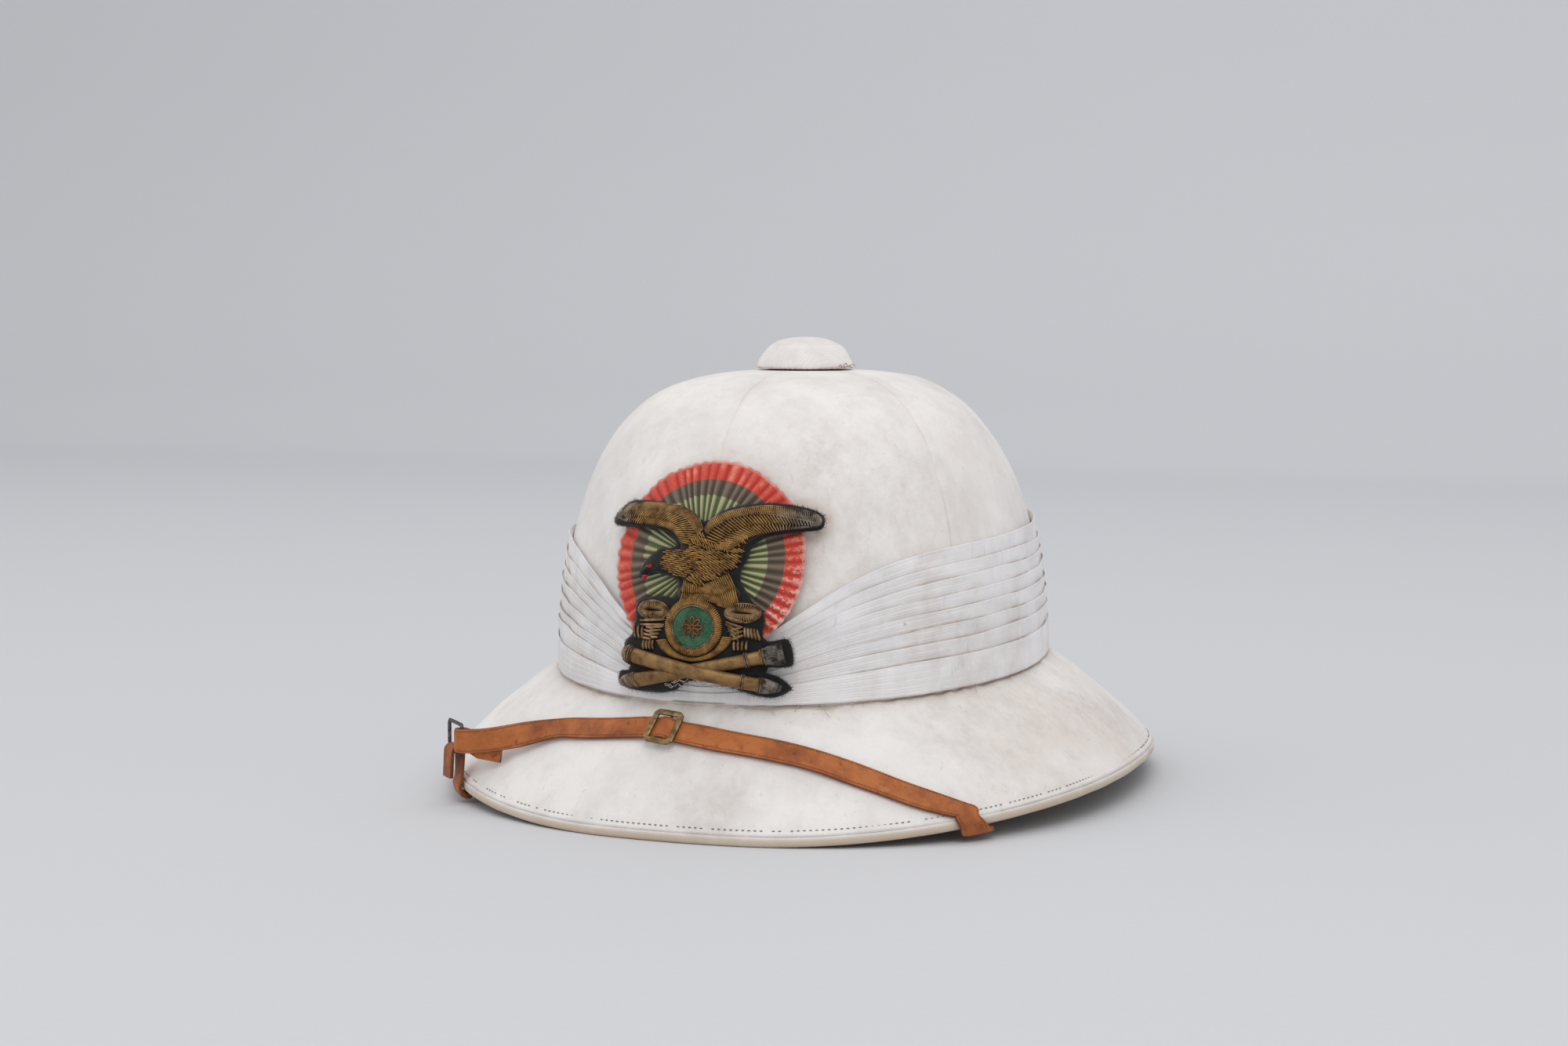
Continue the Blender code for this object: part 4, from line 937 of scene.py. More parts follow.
@dataclass
class BadgePlane:
    """Where the badge's drawing lies on the crown: millimetres from the cockade's middle, and an offset."""

    form: HelmetForm
    centre: float = 0.0506
    cockade_radius: float = 0.0395
    felt_foot: float = -0.0527
    foot_height: float = 0.009
    gap: float = 0.0004
    lift: float = 0.0006
    cockade_cover: float = 0.003
    felt: float = 0.0012

    def place(self, x: Array, y: Array, offset: Array | float) -> Array:
        """Places in space for a drawing in metres."""
        height = self.form.crown_start + self.centre + np.asarray(y)
        azimuth = np.arcsin(np.clip(x / (self.form.crown_half_width * self.form.spread(height)), -1, 1))
        return self.form.crown(azimuth, height, offset)

    def pad(self, y: Array) -> Array:
        """Offset of the cockade's back: clear of the band below, on the crown above."""
        edge = math.asin(self.cockade_radius / self.form.crown_half_width)
        top = self.form.base_line(edge) + self.form.band_height(edge) - self.form.crown_start - self.centre
        lean = np.clip((self.cockade_radius - y) / (self.cockade_radius - top), 0, 1)
        return self.gap + 0.0032 * lean

    def felt_seat(self, y: Array) -> Array:
        """Offset of the felt's back."""
        share = np.clip((y - self.felt_foot) / self.foot_height, 0, 1)
        return self.pad(y) + self.cockade_cover * share

    def wire_seat(self, y: Array) -> Array:
        """Offset of the felt's face, where the embroidery starts."""
        return self.felt_seat(y) + self.felt


def edge_distance(points: Array, outline: Array) -> Array:
    """Distance of flat points to a closed outline.

    Args:
        points: Flat points.
        outline: Corners of the outline.

    Returns:
        The distances.
    """
    nearest = np.full(points.shape[:-1], 1e9)
    for start, end in zip(outline, np.roll(outline, -1, 0)):
        run = end - start
        share = np.clip(((points - start) @ run) / max(run @ run, 1e-18), 0, 1)
        nearest = np.minimum(nearest, np.linalg.norm(points - start - share[..., None] * run, axis=-1))
    return nearest


def is_inside(points: Array, outline: Array) -> Array:
    """Which flat points are inside a closed outline."""
    inside = np.zeros(points.shape[:-1], bool)
    x, y = points[..., 0], points[..., 1]
    for a, b in zip(outline, np.roll(outline, -1, 0)):
        if a[1] == b[1]:
            continue
        crosses = ((a[1] > y) != (b[1] > y)) & (x < (b[0] - a[0]) * (y - a[1]) / (b[1] - a[1]) + a[0])
        inside ^= crosses
    return inside


def smooth_line(corners: Sequence[Sequence[float]], count: int, closed: bool = False) -> Array:
    """Evenly spaced points on a smooth line through corners.

    Args:
        corners: Corners of the line.
        count: How many points to return.
        closed: Whether the line returns to its start.

    Returns:
        The points.
    """
    c = np.asarray(corners, float)
    if closed:
        c = np.concatenate([c[-1:], c, c[:2]])
    else:
        c = np.concatenate([2 * c[:1] - c[1:2], c, 2 * c[-1:] - c[-2:-1]])
    t = np.linspace(0, 1, 12, endpoint=False)[:, None]
    parts = [0.5 * (2 * b + (e - a) * t + (2 * a - 5 * b + 4 * e - f) * t * t
                    + (3 * b - a - 3 * e + f) * t ** 3)
             for a, b, e, f in zip(c, c[1:], c[2:], c[3:])]
    fine = np.concatenate(parts + [c[-2:-1]])
    steps = run_along(fine)
    wanted = np.linspace(0, steps[-1], count, endpoint=not closed)
    return np.stack([np.interp(wanted, steps, fine[:, k]) for k in range(fine.shape[1])], -1)


@dataclass
class ShellCloth:
    """Crown and brim: six cloth panels over the moulded wall, and a rolled rim."""

    form: HelmetForm
    badge: BadgePlane
    panels: int = 6
    panel_columns: int = 68
    crown_rows: int = 78
    brim_rows: int = 44
    seam_pull: float = 0.82
    seam_depth: float = 0.0003
    seam_width: float = 0.00045
    lap: float = 0.0003
    roll_power: float = 2 / 2.8
    unevenness: float = 0.0005
    stitch_share: float = 0.958

    def azimuths(self) -> Array:
        """Columns, closer together at the seams."""
        place = np.arange(self.panels * self.panel_columns) / self.panel_columns
        panel = np.floor(place)
        share = place - panel
        pulled = share - self.seam_pull * np.sin(FULL_TURN * share) / FULL_TURN
        return (panel + pulled) * FULL_TURN / self.panels

    def crown_heights(self, azimuth: Array, rows: int) -> Array:
        """Heights of rows from the base line to the vent hole, even along the section."""
        g = np.cos(np.linspace(0, math.pi / 2 - 0.09, 400))
        section = np.stack([g * self.form.crown_half_width, self.form.dome(g)], -1)
        steps = run_along(section)
        spreads = np.interp(np.linspace(0, steps[-1], rows), steps, g)
        base = self.form.base_line(azimuth)
        return base + (self.form.apex - base) * (self.form.dome(spreads) / self.form.crown_height)[:, None]

    def seam_distance(self, azimuth: Array, points: Array) -> Array:
        """Signed distance to the nearest panel seam."""
        turn = azimuth / (FULL_TURN / self.panels)
        angle = (turn - np.round(turn)) * FULL_TURN / self.panels
        return angle * np.hypot(points[..., 0], points[..., 1] - self.form.middle_y)

    def outer_crown(self, azimuth: Array) -> tuple[Array, Array]:
        """Places of the crown's outside, and its darkening: seam grime, and a brown stain with painted shadow
        round the badge.
        """
        heights = self.crown_heights(azimuth, self.crown_rows)
        angle = np.broadcast_to(azimuth, heights.shape)
        flat = self.form.crown(angle, heights)
        distance = self.seam_distance(angle, flat)
        groove = bell(distance, self.seam_width)
        raised = np.exp(-((distance - 0.0026) / 0.0021) ** 4)
        top = eased((self.form.apex - heights) / 0.004)
        offset = (self.lap * raised - self.seam_depth * groove) * top
        offset = offset + self.unevenness * (0.7 * ripple(flat, 0.09, 3) + 0.25 * ripple(flat, 0.03, 5)) * top
        grime = 0.34 * bell(distance, 0.0006) + 0.1 * bell(np.abs(distance) - 0.002, 0.003)
        grime = grime * (0.6 + 0.4 * np.clip(ripple(flat, 0.03, 8), -1, 1))
        drawing = np.stack([flat[..., 0], heights - self.form.crown_start - self.badge.centre], -1)
        felt = np.asarray(EmbroideredBadge.felt_outline) * MM
        near = edge_distance(drawing, felt)
        in_front = flat[..., 1] < self.form.middle_y
        # Darker round the felt's edge and the cockade's rim: partly brown stain, partly painted shadow of the
        # raised badge.
        halo = np.where(in_front & (near < 0.02), 0.7 * np.exp(-near / 0.0035), 0.0)
        ring = np.abs(np.hypot(drawing[..., 0], drawing[..., 1]) - self.badge.cockade_radius)
        halo = np.maximum(halo, np.where(in_front, 0.42 * np.exp(-ring / 0.004), 0.0))
        return self.form.crown(angle, heights, offset), np.maximum(grime, halo)

    def outer_brim(self, azimuth: Array) -> tuple[Array, Array]:
        """Places of the brim's upper side, and its darkening: grime, and a painted shadow line at the band's
        foot.
        """
        shares = np.linspace(0.012, 1, self.brim_rows)[:, None]
        angle = np.broadcast_to(azimuth, (self.brim_rows, len(azimuth)))
        flat = self.form.brim(angle, shares)
        fade = eased((1 - shares) / 0.05)
        offset = self.unevenness * (0.6 * ripple(flat, 0.08, 11) + 0.25 * ripple(flat, 0.025, 12)) * fade
        pucker = np.sin(angle * 77 + 2 * np.sin(angle * 5)) * ripple(flat, 0.04, 13)
        offset = offset + 0.00022 * pucker * np.exp(-shares / 0.07)
        offset = offset - self.seam_depth * bell(shares - self.stitch_share, 0.012)
        stain = 0.5 + 0.5 * np.clip(ripple(flat, 0.06, 14), -1, 1)
        # Strongest just below the band: a brown line that is partly grime and partly painted shadow under the
        # band; the broader stain and the darker rim are grime.
        grime = (np.exp(-shares / 0.03) + 0.35 * stain * np.exp(-shares / 0.12)
                 + 0.15 * np.exp(-(1 - shares) / 0.02))
        return self.form.brim(angle, shares, offset), np.broadcast_to(grime, angle.shape)

    def rim_roll(self, azimuth: Array) -> Array:
        """Places round the rolled rim, from its upper side to its foot."""
        angles = np.radians(np.linspace(62, -90, 12))
        half = self.form.rim_thickness / 2
        insets = half - half * np.cos(angles) ** self.roll_power
        rises = half + half * squarish(np.sin(angles), self.roll_power)
        rows = [self.form.rim(azimuth, i + 0.00008 * ripple(self.form.rim(azimuth), 0.02, 21), r)
                for i, r in zip(insets, rises)]
        return np.stack(rows + [self.form.rim(azimuth, self.form.rim_foot, 0.0)])

    def inside(self, azimuth: Array) -> Array:
        """Places under the brim and up the crown's inner wall."""
        wall = self.form.wall
        under = np.stack([self.form.brim(azimuth, s, -wall) for s in np.linspace(0.86, 0.05, 12)])
        heights = self.crown_heights(azimuth, 34)[1:]
        inner = self.form.crown(azimuth, heights, -wall)
        return np.concatenate([under, self.form.inner_corner(azimuth)[None], inner])

    def vent_hole(self, azimuth: Array, height: float) -> Array:
        """The vent hole's edge at a height."""
        x, y = self.form.hole * np.sin(azimuth), self.form.middle_y - self.form.hole * np.cos(azimuth)
        return np.stack([x, y, np.full(len(azimuth), height)], -1)[None]

    def make(self, material: Material) -> Piece:
        """Builds the shell.

        Args:
            material: Finish of the cloth.

        Returns:
            The piece.
        """
        azimuth = self.azimuths()
        crown, crown_grime_and_shade = self.outer_crown(azimuth)
        brim, brim_grime_and_shade = self.outer_brim(azimuth)
        rim = self.rim_roll(azimuth)
        inside = self.inside(azimuth)
        top = self.vent_hole(azimuth, self.form.apex)
        under_top = self.vent_hole(azimuth, self.form.apex - self.form.wall)
        grid = np.concatenate([top, crown[::-1], brim, rim, inside, under_top])
        count = len(azimuth)
        zeros = np.zeros((1, count))
        grime = np.concatenate([zeros, crown_grime_and_shade[::-1], brim_grime_and_shade, np.full((len(rim), count), 0.15),
                                np.full((len(inside) + 1, count), 0.1)])
        marks = {key: np.zeros(grime.shape) for key in ("rim", "inside")}
        rim_start = 1 + self.crown_rows + self.brim_rows
        marks["rim"][rim_start:rim_start + len(rim)] = eased(np.linspace(0, 2.2, len(rim)))[:, None]
        marks["inside"][rim_start + len(rim):] = 1.0
        marks["grime"] = grime
        run = run_along(grid[:, 0])
        radius = np.hypot(grid[..., 0], grid[..., 1] - self.form.middle_y)
        column = np.arange(count)
        panel = (column // self.panel_columns + 0.5) * FULL_TURN / self.panels
        following = np.append(azimuth[1:], FULL_TURN)
        v = np.broadcast_to(run[:, None], radius.shape)
        left = np.stack([(azimuth - panel) * radius, v], -1)
        right = np.stack([(following - panel) * np.roll(radius, -1, 1), v], -1)
        mesh = ring_mesh("shell_cloth", grid, marks, {"cloth": (left, right)})
        return add_piece("shell_cloth", mesh, material)

    def rim_line(self, azimuths: Array) -> Array:
        """Line of the stitches above the rim."""
        return self.form.brim(azimuths, self.stitch_share, -0.00005)


@dataclass
class PleatedBand:
    """Cloth band round the crown: knife pleats that close up in front."""

    form: HelmetForm
    columns: int = 620
    tops: tuple[float, ...] = (0.24, 0.37, 0.475, 0.58, 0.68, 0.78, 0.88, 1.0)
    recess: float = 0.0011
    proud: float = 0.0024
    back: float = 0.0006
    cloth: float = 0.0004
    tuck: float = 0.0013
    back_grime: float = 0.3
    map_radius: float = 0.115

    def edge(self, index: int, azimuth: Array) -> Array:
        """Share of the band's height at a pleat's upper edge, a little uneven."""
        if index < 0:
            return np.zeros_like(azimuth)
        picks = np.random.default_rng(100 + index)
        wander = sum(picks.uniform(0.2, 1.0) * np.sin(rate * azimuth + picks.uniform(0, 6.28)) / rate ** 0.6
                     for rate in (2, 3, 5, 9, 14))
        side = 1 - bell(np.degrees(np.arccos(np.cos(azimuth))), 30)
        return self.tops[index] + 0.015 * wander * (0.3 + 0.7 * side) * (0.4 if index in (0, 7) else 1)

    def pleat(self, index: int, azimuth: Array) -> list[tuple[Array, Array, float]]:
        """One pleat's rows: height above the band's foot, offset, and grime.

        Args:
            index: Which pleat, from below.
            azimuth: The columns.

        Returns:
            The rows, from the fold under the pleat below to the fold behind its own edge.
        """
        tall = self.form.band_height(azimuth)
        low, top = self.edge(index - 1, azimuth) * tall, self.edge(index, azimuth) * tall
        size = top - low
        tuck = np.minimum(self.tuck, size * 0.4)
        flat = self.form.crown(azimuth, self.form.base_line(azimuth) + top)
        pressed = 0.72 + 0.28 * np.clip(0.5 + 0.6 * ripple(flat, 0.05, 40 + index), 0, 1)
        depth = (0.45 + 0.55 * tall / self.form.band_side) * pressed
        lip = self.recess + (self.proud - self.recess) * depth
        if index == 0:
            rows = [(low + rise, lip * part, dirt_and_shade)
                    for rise, part, dirt_and_shade in ((0.0, 0.6, 0.9), (0.0001, 0.88, 0.9), (0.0006, 0.97, 0.5))]
            rows += [(low + size * share, lip * (0.97 + 0.03 * share), 0.06)
                     for share in (0.12, 0.3, 0.5, 0.7, 0.86)]
        else:
            rows = [(low - tuck, self.recess, 0.9), (low + size * 0.02, self.recess + 0.00015, 1.0)]
            rows += [(low + size * share, self.recess + (lip - self.recess) * share ** 0.8,
                      0.5 * math.exp(-share / 0.12)) for share in (0.1, 0.2, 0.34, 0.5, 0.66, 0.8, 0.91)]
        rows += [(top - drop, lip - back, dirt_and_shade) for drop, back, dirt_and_shade in (
            (0.0003, 0.00001, 0.1), (0.00005, 0.0001, 0.2), (0.0, 0.00025, 0.5), (0.0002, self.cloth, 0.9))]
        if index < len(self.tops) - 1:
            rows.append((top - tuck * 0.7, np.maximum(lip - self.cloth - 0.0001, self.recess + 0.0001), 1.0))
        return rows

    def make(self, material: Material) -> Piece:
        """Builds the band.

        Args:
            material: Finish of the cloth.

        Returns:
            The piece.
        """
        azimuth = turns(self.columns)
        tall = self.form.band_height(azimuth)
        rows = [row for index in range(len(self.tops)) for row in self.pleat(index, azimuth)]
        last = self.edge(len(self.tops) - 1, azimuth) * tall
        for share in (0.98, 0.8, 0.6, 0.4, 0.2, 0.03):
            rows.append((last * share, np.full(self.columns, self.back), self.back_grime))
        foot = self.form.base_line(azimuth) + 0.0004
        grid, grime = [], []
        for height, offset, dirt_and_shade in rows:
            spot = self.form.crown(azimuth, foot + height, offset)
            uneven = (0.00016 * ripple(spot * np.array([1, 1, 3.0]), 0.03, 31)
                      + 0.00012 * ripple(spot, 0.012, 32))
            offset = offset + (uneven if dirt_and_shade != self.back_grime else 0)
            grid.append(self.form.crown(azimuth, foot + height, offset))
            broken = 0.6 + 0.4 * np.clip(1.3 * ripple(spot, 0.035, 33), -1, 1)
            grime.append(dirt_and_shade * 0.62 * broken)
        grid, grime = np.stack(grid), np.stack(grime)
        angle = np.degrees(np.arccos(np.cos(azimuth)))
        fan = bell(angle - 30, 26) * 0.9 + 0.12
        run = run_along(grid[:, self.columns // 4])
        following = azimuth + FULL_TURN / self.columns
        v = np.broadcast_to(run[:, None], grime.shape)
        left = np.stack([np.broadcast_to(azimuth * self.map_radius, v.shape), v], -1)
        right = np.stack([np.broadcast_to(following * self.map_radius, v.shape), v], -1)
        share = np.stack([row[0] / tall for row in rows])
        band = np.stack([np.broadcast_to(azimuth, v.shape), share], -1)
        band_right = np.stack([np.broadcast_to(following, v.shape), np.roll(share, -1, 1)], -1)
        marks = {"grime": grime, "fan": np.broadcast_to(fan, grime.shape) + 0 * grime,
                 "rim": 0 * grime, "inside": 0 * grime}
        mesh = ring_mesh("band_cloth", grid, marks, {"cloth": (left, right), "band": (band, band_right)})
        return add_piece("band_cloth", mesh, material)


@dataclass
class VentButton:
    """Cloth-covered domed button on the crown's top, hollow underneath for its post."""

    form: HelmetForm
    radius: float = 0.021
    height: float = 0.0137
    lift: float = 0.0006
    socket: float = 0.0059
    socket_depth: float = 0.005
    columns: int = 160
    dome_rows: int = 46
    outline: Outline = (
        (0.03, 1.0), (0.18, 0.995), (0.36, 0.965), (0.52, 0.9), (0.66, 0.8), (0.78, 0.66), (0.87, 0.5),
        (0.94, 0.33), (0.985, 0.18), (1.0, 0.09), (0.998, 0.03), (0.98, 0.0))

    def make(self, material: Material) -> Piece:
        """Builds the button.

        Args:
            material: Finish of the cloth.

        Returns:
            The piece.
        """
        azimuth = turns(self.columns)
        foot = self.form.apex + self.lift
        dome = smooth_line(self.outline, self.dome_rows)
        rows = [(r * self.radius, foot + z * self.height) for r, z in dome]
        ceiling = foot + self.socket_depth
        rows += [(self.radius * 0.8, foot + 0.0001), (self.socket, foot), (self.socket, ceiling),
                 (self.socket * 0.3, ceiling)]
        grid, grime = [], []
        for index, (reach, height) in enumerate(rows):
            spot = np.stack([reach * np.sin(azimuth), self.form.middle_y - reach * np.cos(azimuth),
                             np.full(self.columns, height)], -1)
            out = np.stack([np.sin(azimuth), -np.cos(azimuth), 0.5 + 0 * azimuth], -1)
            share = min(reach / self.radius, 1)
            soft = 0.00022 * ripple(spot, 0.012, 51) * share if index < self.dome_rows - 2 else 0 * azimuth
            if self.dome_rows - 6 < index < self.dome_rows:
                soft = soft + 0.00012 * np.sin(azimuth * 48 + 2 * np.sin(3 * azimuth))
            grid.append(spot + out * soft[:, None])
            # Darker along the button's lower edge where it meets the crown.
            edge = bell(height - foot, 0.0007) if reach > self.radius * 0.7 else 0.1
            grime.append(np.full(self.columns, 0.85 * edge))
        mesh = tube_with_ends("button_cloth", np.stack(grid), {
            "grime": np.stack(grime), "rim": 0 * np.stack(grime), "inside": 0 * np.stack(grime)})
        corners = np.zeros(len(mesh.loops), np.int32)
        mesh.loops.foreach_get("vertex_index", corners)
        places = np.array([tuple(v.co) for v in mesh.vertices])
        set_map(mesh, "cloth", places[corners][:, :2])
        return add_piece("button_cloth", mesh, material)


@dataclass
class Cockade:
    """Rosette of ribbon folded into radial pleats, thin as ribbon, bent on the crown."""

    badge: BadgePlane
    radius: float = 0.0395
    pleats: int = 54
    steps: int = 9
    rings: int = 30
    ribbon: float = 0.0003
    crest: float = 0.0019

    def make(self, material: Material) -> Piece:
        """Builds the rosette.

        Args:
            material: Finish of the ribbon.

        Returns:
            The piece.
        """
        columns = self.pleats * self.steps
        angle = turns(columns)
        wander = 0.05 * np.sin(3 * angle + 1) + 0.035 * np.sin(8 * angle + 2) + 0.02 * np.sin(17 * angle)
        wave = 0.5 + 0.5 * np.cos(self.pleats * angle + wander * 30)
        uneven = 1 + 0.3 * np.sin(11 * angle + 0.7) * np.sin(5 * angle)
        rows, ridges, reaches = [], [], []
        for share in np.linspace(0.05, 1.0, self.rings):
            ridge = wave ** (1.3 - 0.5 * share)
            pressed = 0.4 + 0.6 * share - 0.55 * float(eased(np.array((share - 0.6) / 0.4)))
            amount = self.crest * pressed * uneven
            frill = (0.004 * (ridge - 0.5) + 0.006 * np.sin(7 * angle)) * share ** 6
            reach = self.radius * share * (1 + frill)
            x, y = reach * np.sin(angle), reach * np.cos(angle)
            rows.append((x, y, self.ribbon + np.minimum(amount * ridge, self.crest)))
            ridges.append(ridge)
            reaches.append(np.full(columns, share))
        front = [self.badge.place(x, y, self.badge.pad(y) + rise) for x, y, rise in rows]
        back = [self.badge.place(x, y, self.badge.pad(y) + rise - self.ribbon) for x, y, rise in rows[::-1]]
        grid = np.stack(front + back)
        marks = {"ridge": np.stack(ridges + ridges[::-1]), "reach": np.stack(reaches + reaches[::-1])}
        worn = 0.12 + 0.88 * bell(np.degrees(angle) - 118, 34)
        marks["worn"] = np.broadcast_to(worn, marks["reach"].shape)
        return add_piece("cockade_ribbon", ring_mesh("cockade_ribbon", grid, marks), material)


@dataclass(frozen=True)
class BarrelLine:
    """Line in millimetres that a padded barrel lies along.

    Attributes:
        start: Drawn start.
        end: Drawn end.
        base: Offset of the barrel's back.
        bridge: Extra height where it crosses over the other barrel.
    """

    start: tuple[float, float]
    end: tuple[float, float]
    base: float
    bridge: float

    @property
    def length(self) -> float:
        """Length of the line."""
        return float(np.linalg.norm(np.subtract(self.end, self.start)))

    def hump(self, share: float) -> float:
        """Extra height at a share of the line."""
        return self.bridge * float(bell(share - 0.5, 0.2))

    def flat(self, share: float, half: float, turn: Array | float) -> Array:
        """Flat places of a section's points, half a width to each side."""
        along = np.subtract(self.end, self.start) / self.length
        across = np.array([-along[1], along[0]])
        return self.start + along * share * self.length + across * np.atleast_1d(half * np.cos(turn))[:, None]


@dataclass
class EmbroideredBadge:
    """Felt backing and the raised wire embroidery on it, in millimetres from the cockade's middle."""

    badge: BadgePlane
    tubes: GrowthTree
    wire: float = 0.00038
    pitch: float = 0.8
    low_arch: float = 0.0003
    high_arch: float = 0.0009
    pad_edge: float = 0.0003
    pad_crown: float = 0.0017
    pad_shoulder: float = 3.2
    cap_wires: int = 20
    guide_points: int = 200
    felt_inset: float = 0.8
    felt_outline: ClassVar[Outline] = (
        (0.9, 16.0), (6.0, 19.4), (12.9, 21.9), (24.1, 23.2), (32.7, 22.4), (40.9, 20.2), (44.7, 16.8),
        (43.9, 12.0), (37.4, 10.8), (31.0, 9.9), (24.9, 8.6), (20.6, 5.2), (19.4, 0.9), (17.6, -3.0),
        (17.6, -6.9), (20.2, -11.2), (23.2, -15.5), (27.1, -20.6), (27.1, -28.8), (35.3, -28.8),
        (37.0, -39.6), (27.5, -40.9), (32.7, -43.4), (37.0, -48.6), (31.0, -52.7), (24.1, -52.3),
        (16.3, -49.9), (1.7, -46.0), (-10.3, -52.0), (-24.9, -52.9), (-34.4, -50.7), (-32.7, -44.3),
        (-27.1, -42.8), (-31.0, -40.4), (-30.1, -32.3), (-26.7, -28.8), (-25.8, -20.6), (-24.5, -15.9),
        (-15.9, -13.3), (-9.0, -13.3), (-8.2, -8.6), (-12.0, -6.9), (-18.9, -6.3), (-24.5, -8.2),
        (-25.4, -4.3), (-21.9, 0.9), (-16.8, 4.7), (-10.8, 5.6), (-12.9, 8.6), (-18.1, 10.3), (-25.8, 11.0),
        (-39.6, 11.0), (-41.7, 15.1), (-35.3, 21.5), (-27.5, 22.8), (-15.1, 21.9), (-5.6, 18.5))
    eagle_outline: ClassVar[Outline] = (
        (1, 12.6), (4, 15.9), (8, 18.3), (13, 20), (19, 20.9), (25.5, 21.3), (33, 20.2), (40, 18.4),
        (43.2, 16), (42.4, 13.2), (38, 12.7), (32, 12), (26, 11.1), (21.3, 9.2), (17.4, 5.8), (16.6, 1.7),
        (14.8, -1.3), (12.1, -3.2), (14.2, -8.2), (17, -11.4), (16.4, -14), (13.4, -15.8), (10, -15.8),
        (7, -14.5), (3.4, -13.2), (0, -12.7), (-3.4, -13.2), (-6.4, -14.5), (-6.4, -11.3), (-4.7, -7.7),
        (-10.6, -4.8), (-18, -4), (-23.2, -6), (-21.8, -2.6), (-18, 1.8), (-11.6, 3.5), (-7.4, 4.4),
        (-9, 7.4), (-12, 10.4), (-16.4, 12), (-25, 12.6), (-32.6, 13), (-38.6, 13.2), (-39.4, 15.2),
        (-32.6, 20.2), (-24, 20.9), (-15, 20.2), (-7, 18), (-2.6, 15.4))
    left_wing: ClassVar[tuple[Outline, ...]] = (
        ((1.0, 11.7), (-1.4, 15.6), (-4.5, 18.2), (-9.2, 20.0), (-14.6, 20.8), (-21.0, 20.9), (-26.7, 20.6),
         (-32.7, 19.6), (-37.0, 17.4), (-38.8, 15.0)),
        ((0.5, 7.1), (-1.6, 10.6), (-4.6, 14.1), (-8.2, 16.4), (-12.6, 17.6), (-18.1, 18.1), (-23.8, 18.1),
         (-29.6, 17.6), (-34.7, 16.2), (-37.5, 14.3)),
        ((-2.1, 5.7), (-4.7, 8.9), (-7.6, 11.7), (-11.9, 13.5), (-17.5, 14.8), (-22.7, 15.0), (-28.1, 14.7),
         (-32.5, 14.4), (-35.5, 13.8)),
        ((-5.6, 4.6), (-7.7, 7.1), (-9.8, 9.4), (-13.1, 11.3), (-17.5, 12.3), (-22.0, 12.7), (-26.5, 12.6),
         (-30.9, 13.0), (-33.5, 13.2)))
    right_wing: ClassVar[tuple[Outline, ...]] = (
        ((1.6, 11.7), (3.0, 14.8), (5.5, 16.8), (10.0, 18.5), (15.0, 19.8), (20.1, 20.6), (25.0, 20.9),
         (30.6, 20.2), (35.4, 19.4), (39.7, 18.2), (42.4, 16.3), (43.0, 14.4)),
        ((2.7, 7.8), (5.1, 12.2), (8.5, 14.6), (12.9, 16.4), (18.0, 17.3), (23.0, 17.6), (28.0, 17.1),
         (32.9, 16.1), (37.1, 15.3), (40.7, 14.4), (42.3, 13.8)),
        ((5.3, 4.0), (8.7, 7.7), (12.3, 10.4), (16.0, 12.4), (20.4, 13.4), (24.7, 14.0), (29.0, 14.0),
         (33.2, 13.6), (36.8, 13.3), (39.7, 13.1)),
        ((11.4, 3.2), (14.8, 5.9), (17.4, 8.2), (20.2, 9.5), (23.2, 10.3), (26.2, 11.0), (29.8, 11.7),
         (32.8, 12.1), (35.1, 12.4)))
    neck: ClassVar[Outline] = (
        (-14.7, 2.9), (-10.7, 3.7), (-6.2, 3.6), (-2.1, 5.7), (0.5, 7.1), (2.9, 3.9), (2.3, 0.0),
        (-1.2, -4.4), (-4.5, -7.2), (-9.0, -5.8), (-14.5, -3.1))
    breast: ClassVar[Outline] = (
        (1.5, 4.6), (5.4, 3.9), (11.4, 3.2), (14.8, 5.9), (17.0, 5.4), (16.9, 0.4), (14.6, -2.8),
        (12.1, -4.0), (7.3, -7.4), (2.0, -9.3), (-3.9, -7.9), (-1.2, -4.4))
    mantle: ClassVar[Outline] = (
        (-3.6, 5.4), (-2.0, 8.4), (0.3, 10.9), (2.2, 9.8), (3.4, 7.0), (7.6, 6.4), (12.0, 9.0), (16.4, 9.8),
        (19.2, 8.9), (16.8, 6.4), (14.8, 5.9), (11.4, 3.2), (5.4, 3.9), (1.5, 4.6))
    beak: ClassVar[Outline] = (
        (-15.1, 3.1), (-18.2, 2.0), (-20.8, -1.4), (-22.3, -3.9), (-23.4, -6.0), (-21.4, -5.3),
        (-18.3, -3.7), (-14.5, -3.4))
    tongue: ClassVar[Outline] = ((-21.6, -3.5), (-17.8, -0.9), (-18.8, -3.5))
    tongue_tip: ClassVar[Outline] = ((-22.6, -6.9), (-20.3, -6.7), (-21.5, -8.8))
    disc_centre: ClassVar[tuple[float, float]] = (0.0, -25.2)
    disc_radius: float = 8.1
    ring_radius: float = 11.3
    horn_outer: ClassVar[Outline] = (
        (-14.8, -31.4), (-12.6, -34.6), (-8.6, -37.0), (-3.4, -38.2), (1.0, -38.4), (5.8, -37.4),
        (10.5, -35.0), (13.7, -31.8), (15.2, -28.8))

    def lifted(self, spots: Array, offset: Array | float) -> Array:
        """Places in space for a drawing in millimetres, off the felt's face."""
        x, y = spots[..., 0] * MM, spots[..., 1] * MM
        return self.badge.place(x, y, self.badge.wire_seat(y) + offset)

    def pad_height(self, spots: Array, pad: Array | None) -> Array | float:
        """Height of the eagle's padding at flat spots, or nothing where there is none."""
        if pad is None:
            return 0.0
        return self.swell(spots, pad, self.pad_edge, self.pad_crown, self.pad_shoulder)

